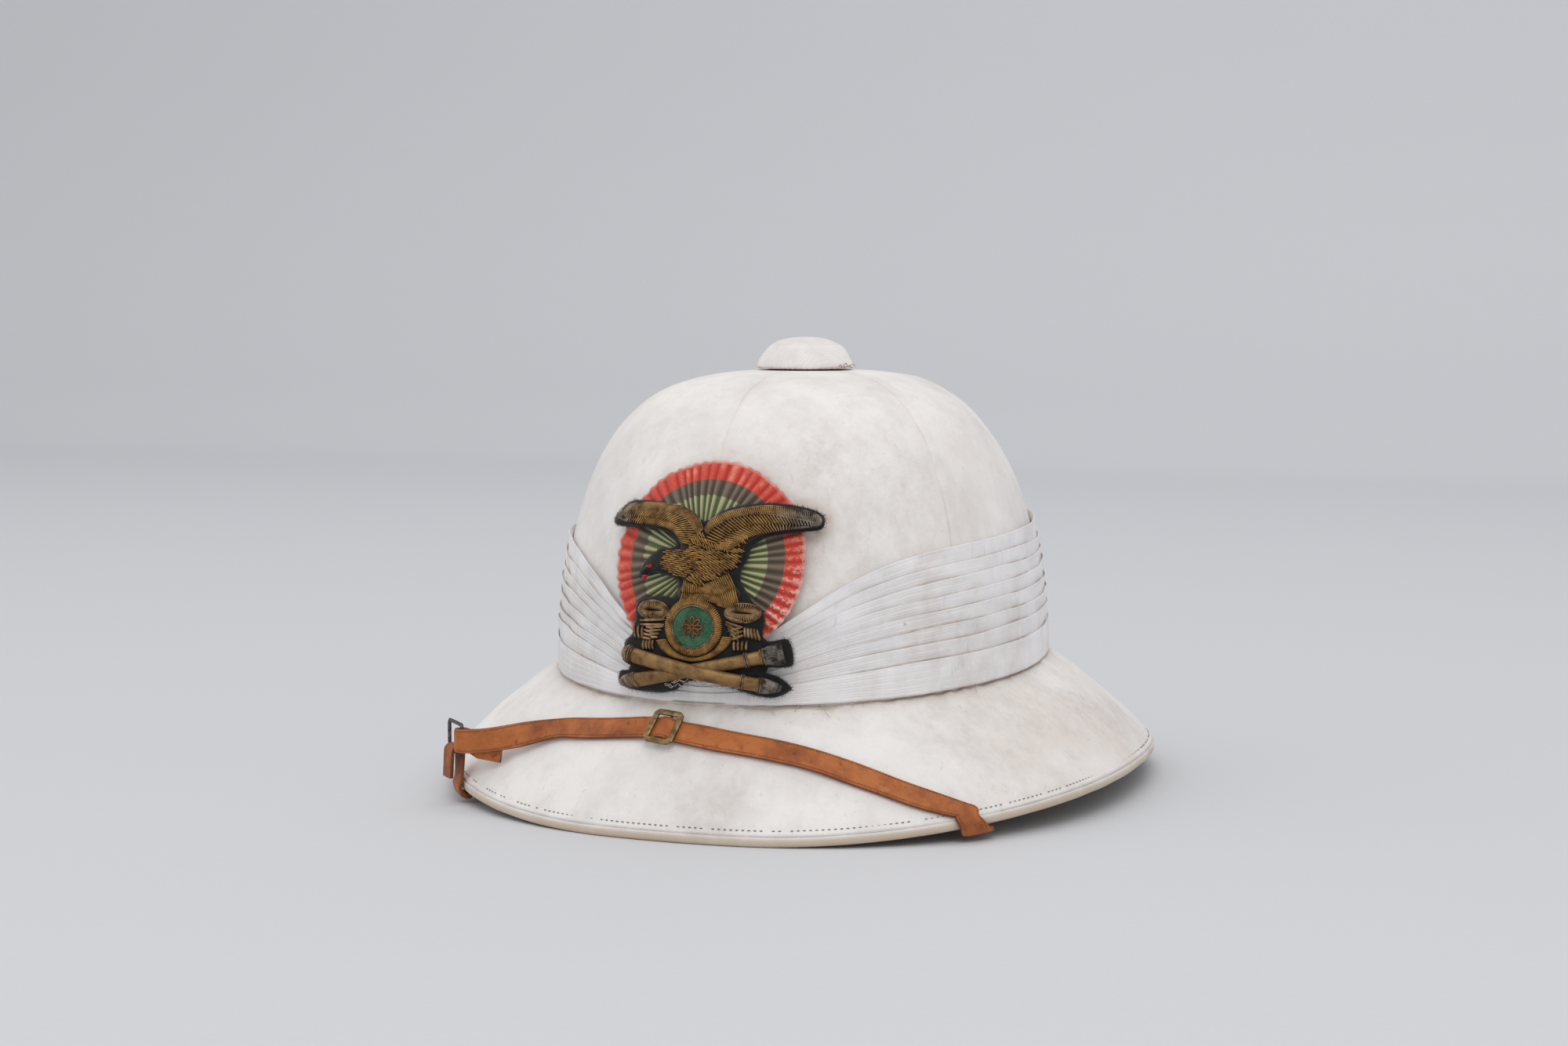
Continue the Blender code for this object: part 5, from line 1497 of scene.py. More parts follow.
    def swell(self, spots: Array, outline: Array, edge: float, crown: float,
              shoulder: float) -> Array:
        """Height of a padded shape at flat spots: low at its outline, full past its shoulder."""
        distance = np.where(is_inside(spots, outline), edge_distance(spots, outline), 0.0)
        return edge + (crown - edge) * np.sqrt(np.clip(distance / shoulder, 0, 1))

    def relief(self, name: str, corners: Sequence, edge: float, crown: float, shoulder: float, spacing: float,
               material: Material, seat: float = 0.0, sharp: bool = False) -> Piece:
        """Padded shape cut to an outline and bent onto the felt.

        Args:
            name: Name of the piece.
            corners: Outline in millimetres.
            edge: Height at the outline, in metres.
            crown: Height past the shoulder, in metres.
            shoulder: Width of the shoulder, in millimetres.
            spacing: Distance between points, in millimetres.
            material: Finish.
            seat: Offset of its back from the felt's face.
            sharp: Whether the outline keeps its corners.

        Returns:
            The piece.
        """
        corners = np.asarray(corners, float)
        sides = np.linalg.norm(corners - np.roll(corners, -1, 0), axis=1)
        if sharp:
            outline = np.concatenate([np.linspace(a, b, max(2, int(side / spacing) + 1), endpoint=False)
                                      for a, b, side in zip(corners, np.roll(corners, -1, 0), sides)])
        else:
            outline = smooth_line(corners, int(sides.sum() / spacing), True)
        low, high = outline.min(0), outline.max(0)
        xs = np.arange(low[0], high[0], spacing)
        ys = np.arange(low[1], high[1], spacing * 0.866)
        grid = np.stack(np.meshgrid(xs, ys), -1)
        grid[1::2, :, 0] += spacing / 2
        grid = grid.reshape(-1, 2)
        grid = grid[is_inside(grid, outline) & (edge_distance(grid, outline) > spacing * 0.5)]
        flat = np.concatenate([outline, grid])
        count = len(outline)
        edges = [(i, (i + 1) % count) for i in range(count)]
        made = delaunay_2d_cdt([Vector(p) for p in flat], edges, [list(range(count))], 1, 1e-6)
        spots = np.array([tuple(p) for p in made[0]])
        triangles = np.array(made[2])
        rise = self.swell(spots, outline, edge, crown, shoulder)
        total = len(spots)
        points = np.concatenate([self.lifted(spots, seat + rise), self.lifted(spots, seat)])
        used = {(int(a), int(b)): None
                for triangle in triangles for a, b in zip(triangle, np.roll(triangle, -1))}
        border = np.array([(a, b) for a, b in used if (b, a) not in used])
        walls = np.concatenate([np.stack([border[:, 0], border[:, 0] + total, border[:, 1] + total], -1),
                                np.stack([border[:, 0], border[:, 1] + total, border[:, 1]], -1)])
        faces = np.concatenate([triangles, triangles[:, ::-1] + total, walls])
        used_points = np.unique(faces)
        renumber = np.zeros(len(points), int)
        renumber[used_points] = np.arange(len(used_points))
        return add_piece(name, plain_mesh(name, points[used_points], renumber[faces], {}), material)

    def row(self, first: Sequence, second: Sequence, lay: Lay, arch: float, pad: Array | None,
            pitch: float) -> list[Array]:
        """A row of short wires side by side between two guide lines.

        Args:
            first: Guide line where the wires start.
            second: Guide line where they end.
            lay: How they lean.
            arch: How far they rise in the middle, in metres.
            pad: Outline of the padding under them, if any.
            pitch: Distance between wires in millimetres.

        Returns:
            A line of places for each wire.
        """
        count = self.guide_points
        a, b = smooth_line(first, count), smooth_line(second, count)
        longest = max(np.linalg.norm(np.diff(g, axis=0), axis=1).sum() for g in (a, b))
        lines = []
        for share in np.linspace(0, 1, max(2, int(longest / pitch))):
            spots = [np.array([np.interp(place * (count - 1), np.arange(count), guide[:, k]) for k in (0, 1)])
                     for guide, place in ((a, share), (b, min(share + lay.value, 1)))]
            lines.append(self.wire_line(spots[0], spots[1], arch, pad))
        return lines

    def wire_line(self, start: Array, end: Array, arch: float, pad: Array | None) -> Array:
        """Places along one wire that is sewn down at both ends."""
        share = np.linspace(0, 1, 7)[:, None]
        spots = start + (end - start) * share
        height = self.wire * 0.9 + arch * np.sin(np.pi * share[:, 0]) ** 0.7
        return self.lifted(spots, height + self.pad_height(spots, pad))

    def fill(self, corners: Sequence, angle: float, length: float, pad: Array | None,
             seed: int, turn: float = 0.0) -> list[Array]:
        """Short wires in staggered rows that fill an outline.

        Args:
            corners: The outline, in millimetres.
            angle: Direction of the wires, in degrees from the wearer's left.
            length: Length of a wire in millimetres.
            pad: Outline of the padding under them, if any.
            seed: Picks their small differences.
            turn: Degrees by which the direction changes over 10 mm of height.

        Returns:
            A line of places for each wire.
        """
        outline = np.asarray(corners, float)
        picks = np.random.default_rng(seed)
        lean = math.radians(angle)
        along = heading(lean)
        across = np.array([-along[1], along[0]])
        middle = outline.mean(0)
        reach = np.abs(outline - middle).max() * 1.5
        lines = []
        for row, v in enumerate(np.arange(-reach, reach, self.pitch * 0.95)):
            for u in np.arange(-reach, reach, length * 1.02) + (row % 3) * length * 0.37:
                spot = middle + along * (u + picks.uniform(-0.15, 0.15)) + across * v
                if not is_inside(spot[None], outline)[0]:
                    continue
                bend = lean + math.radians(turn * (spot[1] - middle[1]) / 10 + picks.uniform(-5, 5))
                half = heading(bend) * length * picks.uniform(0.46, 0.54)
                ends = [end if is_inside(end[None], outline)[0] else spot + (end - spot) * 0.55
                        for end in (spot - half, spot + half)]
                lines.append(self.wire_line(ends[0], ends[1], self.low_arch, pad))
        return lines

    def cord_line(self, guide: Sequence, height: float, pad: Array | None = None,
                  closed: bool = False) -> Array:
        """Places along a twisted border wire that follows a guide line."""
        guide = np.asarray(guide, float)
        length = np.linalg.norm(np.diff(guide, axis=0), axis=1).sum()
        spots = smooth_line(guide, int(length / 0.9) + 4, closed)
        if closed:
            spots = np.concatenate([spots, spots[:1]])
        return self.lifted(spots, height + self.pad_height(spots, pad))

    def grow(self, name: str, lines: list[Array], tones: list[float], finish: Material,
             radius: float | None = None, sides: int = 8) -> Piece:
        """Turns lines into wires as one piece that knows which way each point faces; the wire finish paints
        shade where they face inwards and down.
        """
        bores = [radius or self.wire] * len(lines)
        source = line_mesh(name, lines, bores, tones)
        piece = self.tubes.grow(name, source, {"Sides": sides, "Finish": finish})
        mesh = piece.data
        normals, places = (np.zeros(len(mesh.vertices) * 3, np.float32) for _ in range(2))
        mesh.vertex_normals.foreach_get("vector", normals)
        mesh.vertices.foreach_get("co", places)
        # How far each point faces out and up; the wire finish paints shade where this is low.
        out = places.reshape(-1, 3) - (0, self.badge.form.middle_y, 0)
        out[:, 2] = 0.3 * np.hypot(out[:, 0], out[:, 1])
        set_mark(mesh, "face_up", np.clip((normals.reshape(-1, 3) * unit(out)).sum(1), 0, 1))
        return piece

    def tip_tone(self, lines: list[Array], least: Tone = Tone.GILT) -> list[float]:
        """Tone of each wire: greyer towards the wing tips."""
        return [max(least.value, float(np.clip((abs(line[:, 0].mean()) - 0.027) / 0.012, 0, 1)) * 0.9)
                for line in lines]

    def make_eagle(self, pad_finish: Material, wire: Material, red: Material,
                   black: Material) -> list[Piece]:
        """Spread eagle: padding, bordered wing edges, rows of feathers, and a filled body.

        Args:
            pad_finish: Finish of the padding between the wires.
            wire: Finish of the wires.
            red: Finish of the tongue.
            black: Finish of beak and eye.

        Returns:
            The pieces.
        """
        pad = smooth_line(self.eagle_outline, self.guide_points, True)
        pieces = [self.relief("eagle_padding", self.eagle_outline, self.pad_edge, self.pad_crown,
                              self.pad_shoulder, 1.0, pad_finish)]
        rows, tones = [], []

        def add(lines: list[Array], least: Tone = Tone.GILT) -> None:
            """Keeps lines with their tones."""
            rows.extend(lines)
            tones.extend(self.tip_tone(lines, least))

        for index, (lay, pitch) in enumerate(((Lay.FORWARD, 0.72), (Lay.FEATHER, 1.15), (Lay.FEATHER, 1.15))):
            for wing in (self.left_wing, self.right_wing):
                add(self.row(wing[index], wing[index + 1], lay, self.low_arch, pad, pitch))
        for area, angle, length, seed, turn in ((self.neck, -6, 3.4, 1, 4), (self.breast, -28, 3.4, 2, 10),
                                                (self.mantle, -58, 3.0, 4, 6)):
            add(self.fill(area, angle, length, pad, seed, turn))
        left_thigh = (((-4.2, -7.6), (-1.2, -8.8), (2.2, -9.4)), ((-6.0, -17.2), (-3.0, -16.4), (0.2, -15.2)))
        right_thigh = (((3.6, -9.2), (7.6, -7.4), (12.2, -4.4)), ((9.6, -16.8), (12.6, -17.4), (16.6, -15.4)))
        tail = (((2.2, -9.8), (3.8, -10.0), (5.6, -10.4)), ((1.4, -15.2), (4.8, -15.2), (8.6, -16.0)))
        for first, second in (left_thigh, right_thigh, tail):
            middle = [((a[0] + b[0]) / 2 + 0.8, (a[1] + b[1]) / 2) for a, b in zip(first, second)]
            for upper, lower in ((first, middle), (middle, second)):
                add(self.row(upper, lower, Lay.SQUARE, self.low_arch, pad, 0.7))
        pieces.append(self.grow("eagle_wires", rows, tones, wire))
        borders = [self.left_wing[0], self.right_wing[0], self.right_wing[1][1:], self.left_wing[1][1:]]
        lines = [self.cord_line(guide, self.wire * 1.6, pad) for guide in borders]
        pieces.append(self.grow("eagle_border", lines, [Tone.DARK.value] * 4, wire, self.wire * 0.8))
        pieces.append(self.relief("eagle_beak", self.beak, 0.0004, 0.0019, 2.2, 0.4, black))
        for index, shape in enumerate((self.tongue, self.tongue_tip)):
            pieces.append(self.relief(f"eagle_tongue_{index}", shape, 0.0004, 0.0011, 0.8, 0.25, red, 0.0006))
        eye = [(-14.2, 1.0) + heading(t) * (0.8, 0.65) for t in (0, 1.05, 2.09, 3.14, 4.19, 5.24)]
        pieces.append(self.relief("eagle_eye", eye, 0.0004, 0.0009, 0.4, 0.2, black, 0.0019))
        return pieces

    def circle(self, radius: float, count: int = 40, start: float = 0.0, end: float = 360.0) -> Array:
        """Points of a circle about the disc's middle."""
        turn = np.radians(np.linspace(start, end, count, endpoint=abs(end - start) < 360))
        return self.disc_centre + radius * np.stack([np.cos(turn), np.sin(turn)], -1)

    def ring_wires(self, inner: float, outer: float, count: int, arch: float, slant: float) -> list[Array]:
        """Wires across a ring about the disc's middle."""
        lines = []
        for turn in turns(count):
            a = heading(turn) * inner + self.disc_centre
            b = heading(turn + slant) * outer + self.disc_centre
            lines.append(self.wire_line(a, b, arch, None))
        return lines

    def make_horn_and_ring(self, wire: Material, green: Material, copper: Material,
                           pad_finish: Material) -> list[Piece]:
        """Green disc with a small rosette, its wired ring, and the horn's crescent below.

        Args:
            wire: Finish of the wires.
            green: Finish of the disc.
            copper: Finish of the rosette.
            pad_finish: Finish of the padding.

        Returns:
            The pieces.
        """
        disc = self.circle(self.disc_radius)
        pieces = [self.relief("green_field", disc, 0.0005, 0.0009, 1.5, 0.6, green)]
        lines = self.ring_wires(self.disc_radius + 0.2, self.ring_radius, 84, 0.0010, 0.10)
        pieces.append(self.grow("ring_wires", lines, [Tone.GILT.value] * len(lines), wire))
        border = [self.cord_line(disc, 0.0009, None, True)]
        pieces.append(self.grow("ring_border", border, [Tone.DARK.value], wire, self.wire * 0.75))
        petal = ((0.5, 0), (1.8, 0.75), (3.3, 0.6), (3.9, 0), (3.3, -0.6), (1.8, -0.75), (0.5, 0))
        petals = []
        for turn in turns(8):
            along = heading(turn)
            side = np.array([-along[1], along[0]])
            spots = [along * r + side * w + self.disc_centre for r, w in petal]
            petals.append(self.lifted(smooth_line(spots, 18), 0.0013))
        pieces.append(self.grow("disc_rosette", petals, [Tone.GILT.value] * 8, copper, 0.0003))
        inner = self.circle(self.ring_radius + 0.5, 24, 207, 343)
        horn = smooth_line(self.horn_outer, 40)
        outline = np.concatenate([inner, horn[::-1]])
        pieces.append(self.relief("horn_padding", outline, 0.0003, 0.0009, 1.6, 0.6, pad_finish, 0.0, True))
        lines = self.row(inner, horn, Lay.SQUARE, self.high_arch, None, 0.74)
        pieces.append(self.grow("horn_wires", lines, [Tone.GILT.value] * len(lines), wire))
        return pieces

    def make_knots(self, wire: Material) -> list[Piece]:
        """Oval knots on both sides of the ring, with their cords and tassels.

        Args:
            wire: Finish of the wires.

        Returns:
            The pieces.
        """
        knots, cords = [], []
        for x, y, tilt in ((-16.6, -19.6, 0.0), (18.5, -19.3, -0.08)):
            for turn in turns(40):
                ends = [np.array([p[0] * math.cos(tilt) - p[1] * math.sin(tilt) + x,
                                  p[0] * math.sin(tilt) + p[1] * math.cos(tilt) + y])
                        for p in (heading(turn) * (3.6, 0.35), heading(turn) * (6.4, 3.5))]
                knots.append(self.wire_line(ends[0], ends[1], self.high_arch, None))
            oval = [(x, y) + heading(t) * (6.5, 3.6) for t in np.linspace(0, 6.28, 14, endpoint=False)]
            knots.append(self.cord_line(oval, 0.0005, None, True))
        bundles = (
            (((-22.2, -24.0), (-22.1, -25.6)), ((-11.6, -22.9), (-11.7, -24.9))),
            (((-24.6, -26.2), (-20.8, -25.8)), ((-24.0, -30.8), (-20.6, -31.0))),
            (((-20.0, -31.4), (-16.2, -31.2)), ((-20.2, -35.0), (-16.0, -34.6))),
            (((-19.0, -26.6), (-17.0, -30.0)), ((-12.0, -25.6), (-14.2, -29.8))),
            (((12.6, -20.8), (12.6, -22.8)), ((19.9, -23.0), (18.8, -24.8))),
            (((19.6, -25.0), (23.8, -25.4)), ((19.8, -28.4), (25.0, -29.6))),
            (((15.8, -30.2), (20.4, -30.0)), ((16.0, -33.6), (20.2, -33.4))),
            (((12.6, -23.6), (14.2, -26.6)), ((18.2, -26.8), (17.4, -29.6))),
            (((-19.6, -26.0), (-21.6, -30.2)), ((-15.0, -26.8), (-17.0, -30.8))),
            (((13.4, -26.4), (15.0, -29.4)), ((18.6, -24.6), (19.4, -27.6))))
        for (a, b), (c, d) in bundles:
            cords += self.row((a, b), (c, d), Lay.SQUARE, self.high_arch, None, 1.0)
        return [self.grow("knot_wires", knots, [Tone.WORN.value] * len(knots), wire),
                self.grow("tassel_wires", cords, [Tone.WORN.value] * len(cords), wire, self.wire * 1.6)]

    def barrel(self, name: str, line: BarrelLine, widths: Outline, finish: Material) -> Piece:
        """Padded barrel wound with thread, lying along a line.

        Args:
            name: Name of the piece.
            line: Where it lies.
            widths: Share along it and half width in millimetres.
            finish: Finish of the thread.

        Returns:
            The piece.
        """
        shares = np.linspace(widths[0][0], widths[-1][0], 120)
        halves = np.interp(shares, [w[0] for w in widths], [w[1] for w in widths])
        turn = turns(28)
        grid, run = [], []
        for share, half in zip(shares, halves):
            tall, hump = half * 1.05 * MM, line.hump(share)
            height = line.base + tall * 0.5 + hump + np.where(
                np.sin(turn) > 0, np.sin(turn) * tall * 0.75, np.sin(turn) * (tall * 0.5 + hump * 0.6))
            grid.append(self.lifted(line.flat(share, half, turn), height))
            run.append(np.full(len(turn), share * line.length * MM))
        run = np.stack(run)
        return add_piece(name, tube_with_ends(name, np.stack(grid), {"run": run, "tone": 0 * run}), finish)

    def barrel_skin(self, line: BarrelLine, share: float, half: float, turn: Array | float) -> Array:
        """Places on a barrel's skin, where its wires lie."""
        rise = line.base + line.hump(share) + half * MM * (0.52 + 0.79 * np.atleast_1d(np.sin(turn)))
        return self.lifted(line.flat(share, half, turn), rise)

    def make_barrels(self, thread: Material, wire: Material) -> list[Piece]:
        """Crossed barrels, one over the other, with their bands and wired ends.

        Args:
            thread: Finish of the winding.
            wire: Finish of the wires.

        Returns:
            The pieces.
        """
        over = BarrelLine((-28.6, -36.6), (33.2, -48.2), 0.0004, 0.0011)
        under = BarrelLine((-31.8, -49.2), (33.2, -34.2), 0.0002, -0.0004)
        over_widths = ((0.03, 2.2), (0.06, 3.1), (0.10, 3.0), (0.5, 2.7), (0.78, 2.75), (0.92, 2.9),
                       (0.95, 2.3))
        under_widths = ((0.05, 2.3), (0.10, 2.9), (0.45, 2.5), (0.8, 2.5), (0.93, 2.8), (0.95, 2.4))
        pieces = [self.barrel("barrel_over_thread", over, over_widths, thread),
                  self.barrel("barrel_under_thread", under, under_widths, thread)]
        over_bands = ((0.035, 3.2), (0.05, 3.4), (0.065, 3.4), (0.08, 3.3), (0.765, 2.95), (0.777, 2.95),
                      (0.865, 3.1), (0.878, 3.15))
        under_bands = ((0.12, 3.0), (0.133, 3.0), (0.80, 2.75), (0.812, 2.75), (0.885, 2.9), (0.9, 3.2))
        turn = np.linspace(-0.15, math.pi + 0.15, 14)
        rings = [self.barrel_skin(line, share, half, turn)
                 for line, places in ((over, over_bands), (under, under_bands)) for share, half in places]
        ends = ((over, (0.0, 0.05), (1.6, 3.3), Tone.DARK), (over, (0.885, 0.99), (3.1, 1.0), Tone.SILVER),
                (under, (0.0, 0.11), (1.2, 2.9), Tone.DARK), (under, (0.9, 1.0), (2.9, 4.0), Tone.SILVER))
        steps = np.linspace(0, 1, 5)
        caps, tones = [], []
        for line, places, widths, tone in ends:
            shares = np.interp(steps, (0, 1), places)
            halves = np.interp(steps, (0, 1), widths) + 0.35 * np.sin(math.pi * steps)
            for angle in np.linspace(0.12, math.pi - 0.12, self.cap_wires):
                caps.append(np.concatenate([self.barrel_skin(line, share, half, angle)
                                            for share, half in zip(shares, halves)]))
                tones.append(tone.value)
        pieces.append(self.grow("barrel_bands", rings, [Tone.DARK.value * 0.8] * len(rings), wire, 0.00034))
        pieces.append(self.grow("barrel_ends", caps, tones, wire, 0.00032))
        return pieces

    def make_felt(self, felt: Material, fuzz: Material, pale: Material) -> list[Piece]:
        """Felt backing with fibres along its cut edge and a few pale loose threads at its foot.

        Args:
            felt: Finish of the felt.
            fuzz: Finish of the fibres.
            pale: Finish of the loose threads.

        Returns:
            The pieces.
        """
        outline = smooth_line(self.felt_outline, 2300, True)
        tangent = np.roll(outline, -1, 0) - np.roll(outline, 1, 0)
        outward = unit(np.stack([tangent[:, 1], -tangent[:, 0]], -1))
        if is_inside((outline + outward * 0.3)[:1], outline)[0]:
            outward = -outward
        outline = outline - outward * self.felt_inset
        thick = self.badge.felt
        base = self.relief("felt_backing", outline[::7], thick - 0.0002, thick, 0.8, 1.1, felt, -thick, True)
        picks = np.random.default_rng(77)
        lines = []
        for spot, out in zip(outline, outward):
            across = np.array([-out[1], out[0]])
            side = across * picks.uniform(-0.9, 0.9)
            length = picks.uniform(0.2, 0.95) * (1.4 if spot[1] < -45 or abs(spot[0]) > 33 else 1)
            bend = picks.uniform(-0.6, 0.6)
            steps = np.array([0, 0.5, 1.0])[:, None]
            flat = spot - out * 0.3 + (out + side) * length * steps + across * bend * steps ** 2
            rise = -picks.uniform(0.0001, 0.0009) + steps[:, 0] * picks.uniform(-0.0004, 0.0003)
            lines.append(self.lifted(flat, rise))
        fibres = self.grow("felt_fibres", lines, [0.0] * len(lines), fuzz, 0.00006, 3)
        threads = []
        for x in np.linspace(-12, 16, 46):
            spot = np.array([x + picks.uniform(-0.8, 0.8), -46.4 + picks.uniform(-1.2, 1.0) - 0.16 * abs(x)])
            turn = picks.uniform(-0.6, 0.9)
            steps = np.linspace(0, 1, 6)[:, None]
            sway = 0.5 * np.sin(steps * 5 + x)
            curl = np.concatenate([steps * 2.2 * math.cos(turn), steps * 1.4 * math.sin(turn) + sway], 1)
            threads.append(self.lifted(spot + curl, 0.0003 - 0.0003 * steps[:, 0]))
        loose = self.grow("felt_loose_threads", threads, [0.0] * len(threads), pale, 0.00014, 5)
        return [base, fibres, loose]


@dataclass
class Station:
    """One cross-section of a leather band.

    Attributes:
        middle: Middle of the section.
        normal: Direction that its face looks.
        rim: Direction of the rim, if the section follows it.
        share: How far it follows the rim.
    """

    middle: Vector
    normal: Vector
    rim: Vector | None = None
    share: float = 0.0


@dataclass
class StrapWork:
    """Chin strap, tab, ring and buckle, along the same routes as the solids."""

    form: HelmetForm
    stitches: GrowthTree
    width: float = 0.010
    thickness: float = 0.0020
    gap: float = 0.0005
    wrap_gap: float = 0.0009
    fold_gap: float = 0.0006
    end_height: float = 0.015
    stud_height: float = 0.009
    buckle_azimuth: float = -4.6
    buckle_length: float = 0.0137
    buckle_band: float = 0.0024
    buckle_thickness: float = 0.0012
    buckle_clearance: float = 0.0004
    wire: float = 0.0016
    ring_length: float = 0.0165
    ring_clearance: float = 0.0005
    ring_height: float = 0.028
    ring_outset: float = 0.0025
    ring_azimuth: float = -42.5
    return_length: float = 0.018
    return_drop: float = 0.0035
    tab_place: float = 0.0102
    tab_azimuth: float = -46.6
    tab_flap: float = 0.0105
    tab_lean: float = 0.0006
    station_step: float = 0.0035
    route_points: int = 400
    row_step: float = 0.0006
    ease_reach: float = 0.006
    rim_follow: float = 0.86
    bar_path: Outline = (
        (-1, 0.0019), (-1, 0.0009), (-0.94, 0.0), (-0.5, 0.0), (0.5, 0.0), (0.94, 0.0), (1, 0.0009),
        (1, 0.0019))
    route: Outline = (
        (46.5, 1.0), (42, 0.90), (37, 0.785), (31, 0.64), (23, 0.475), (15, 0.375), (6, 0.31), (-2, 0.26),
        (-8, 0.245), (-14, 0.275), (-20, 0.315), (-27, 0.36))
    strap_under: Outline = (
        (49.5, 0.85), (54, 0.72), (59, 0.5), (64, 0.28), (70, 0.06))
    tab_under: Outline = (
        (-47, 0.85), (-50, 0.72), (-55, 0.5), (-61, 0.28), (-68, 0.06))

    def rim_tangent(self, azimuth: float) -> Vector:
        """Direction of the rim, towards larger azimuths."""
        return Vector(self.form.rim(azimuth + 0.01) - self.form.rim(azimuth - 0.01)).normalized()

    def rim_outward(self, azimuth: float) -> Vector:
        """Level direction out of the rim."""
        tangent = self.rim_tangent(azimuth)
        return Vector((tangent.y, -tangent.x, 0)).normalized()

    def rim_wrap(self, azimuth: float, shift: float = 0.0) -> list[Station]:
        """Stations round the rim's edge from below to above; shift turns the band along the rim."""
        lift = self.wrap_gap + self.thickness / 2
        stations = []
        f = self.form
        corners = ((f.rim_foot, 0.0, -90), (f.rim_rounding, 0.0, -70), (f.rim_rounding, 0.0, -35),
                   (0.0, f.rim_thickness * 0.5, 0), (f.rim_rounding, f.rim_thickness, 30))
        for index, (inset, rise, tilt) in enumerate(corners):
            place = azimuth + math.radians(shift) * (1 - 2 * index / (len(corners) - 1))
            lean = math.radians(tilt)
            normal = self.rim_outward(place) * math.cos(lean) + Vector((0, 0, math.sin(lean)))
            middle = Vector(f.rim(place, inset, rise)) + normal * lift
            stations.append(Station(middle, normal, self.rim_tangent(place), 1.0))
        return stations

    def hidden_run(self, rows: Outline) -> list[Station]:
        """Stations from the end inside the crown, under the brim, to the rim."""
        f = self.form
        lift = f.wall + self.wrap_gap + self.thickness / 2
        top = math.radians(rows[-1][0])
        base = float(f.base_line(top))
        stations = []
        for height in (self.end_height, self.stud_height):
            spot, inner = f.crown(top, base + height, 0.0), f.crown(top, base + height, -lift)
            stations.append(Station(Vector(inner), Vector(inner - spot).normalized()))
        wall = Vector(f.crown(top, base, 1.0) - f.crown(top, base))
        slope = Vector(f.brim_normal(top, 0.02))
        corner = Vector(f.inner_corner(np.array(top)))
        for share in (0, 0.5, 1):
            normal = -wall.lerp(slope, share).normalized()
            stations.append(Station(corner + normal * (lift - f.wall), normal))
        for row in smooth_line(rows, 9)[::-1]:
            azimuth, share = math.radians(row[0]), row[1]
            near = float(eased(np.array((share - 0.5) / 0.35)))
            middle, normal = Vector(f.brim(azimuth, share, -lift)), -Vector(f.brim_normal(azimuth, share))
            stations.append(Station(middle, normal, self.rim_tangent(azimuth), near))
        return stations

    def buckle_share(self) -> float:
        """Share of the brim's width at the buckle."""
        rows = smooth_line(self.route, self.route_points)
        return float(rows[np.argmin(np.abs(rows[:, 0] - self.buckle_azimuth))][1])

    def over_brim(self) -> list[Station]:
        """Stations over the brim's upper side, rising over the buckle's bar."""
        lift = self.gap + self.thickness / 2
        bar = Vector(self.form.brim(math.radians(self.buckle_azimuth), self.buckle_share(), lift))
        stations, last = [], None
        for row in smooth_line(self.route, self.route_points):
            azimuth, share = math.radians(row[0]), row[1]
            middle = Vector(self.form.brim(azimuth, share, lift))
            near_bar = (middle - bar).length < self.buckle_length * 0.75
            step = self.buckle_length / 16 if near_bar else self.station_step
            if last is not None and (middle - last).length < step:
                continue
            last = middle
            normal = Vector(self.form.brim_normal(azimuth, share))
            window = self.buckle_length / 2 - self.buckle_band
            hump = 1 - float(eased(np.array(((middle - bar).length - window * 0.25) / (window * 0.7))))
            near_rim = float(eased(np.array((share - self.rim_follow) / (1 - self.rim_follow))))
            rise = (self.buckle_thickness + self.gap) * hump
            stations.append(Station(middle + normal * rise, normal, self.rim_tangent(azimuth), near_rim))
        return stations

    def ring_frame(self) -> tuple[Vector, Vector]:
        """Middle of the ring's front bar, and the level direction along the ring."""
        azimuth = math.radians(self.ring_azimuth)
        bar = Vector(self.form.rim(azimuth)) + self.rim_outward(azimuth) * self.ring_outset
        tangent = self.rim_tangent(azimuth)
        return Vector((bar.x, bar.y, self.ring_height)), -Vector((tangent.x, tangent.y, 0)).normalized()

    def half_ring(self) -> float:
        """Half the ring's height between its bars' middles."""
        return self.width / 2 + self.ring_clearance + self.wire / 2

    def free_run(self, on_brim: list[Station]) -> list[Station]:
        """Stations from the brim to the ring, round its front bar and back behind."""
        last, before = on_brim[-1], on_brim[-2]
        bar = self.ring_frame()[0]
        out = self.rim_outward(math.radians(self.ring_azimuth))
        radius = self.wire / 2 + self.fold_gap + self.thickness / 2
        for _ in range(4):
            run = bar + out * radius - last.middle
            arriving = Vector((run.x, run.y, 0)).normalized()
            out = Vector((-arriving.y, arriving.x, 0))
        end = bar + out * radius
        reach = (end - last.middle).length
        leave = (last.middle - before.middle).normalized() * reach
        stations = []
        for t in np.linspace(0, 1, 15)[1:]:
            middle = (last.middle * (2 * t ** 3 - 3 * t * t + 1) + leave * (t ** 3 - 2 * t * t + t)
                      + end * (3 * t * t - 2 * t ** 3) + arriving * reach * (t ** 3 - t * t))
            share = float(eased(np.array(t * 1.2)))
            stations.append(Station(middle, last.normal.lerp(out, share).normalized()))
        for turn in np.linspace(0, math.pi, 9)[1:]:
            normal = out * math.cos(turn) + arriving * math.sin(turn)
            stations.append(Station(bar + normal * radius, normal))
        closing = radius * 2 - self.thickness - 0.0004
        for share in (0.15, 0.3, 0.45, 0.6, 0.8, 1.0):
            near = float(eased(np.array(share / 0.6)))
            back = bar - out * (radius - closing * near) - arriving * self.return_length * share
            stations.append(Station(back - Vector((0, 0, self.return_drop * near)), -out))
        return stations

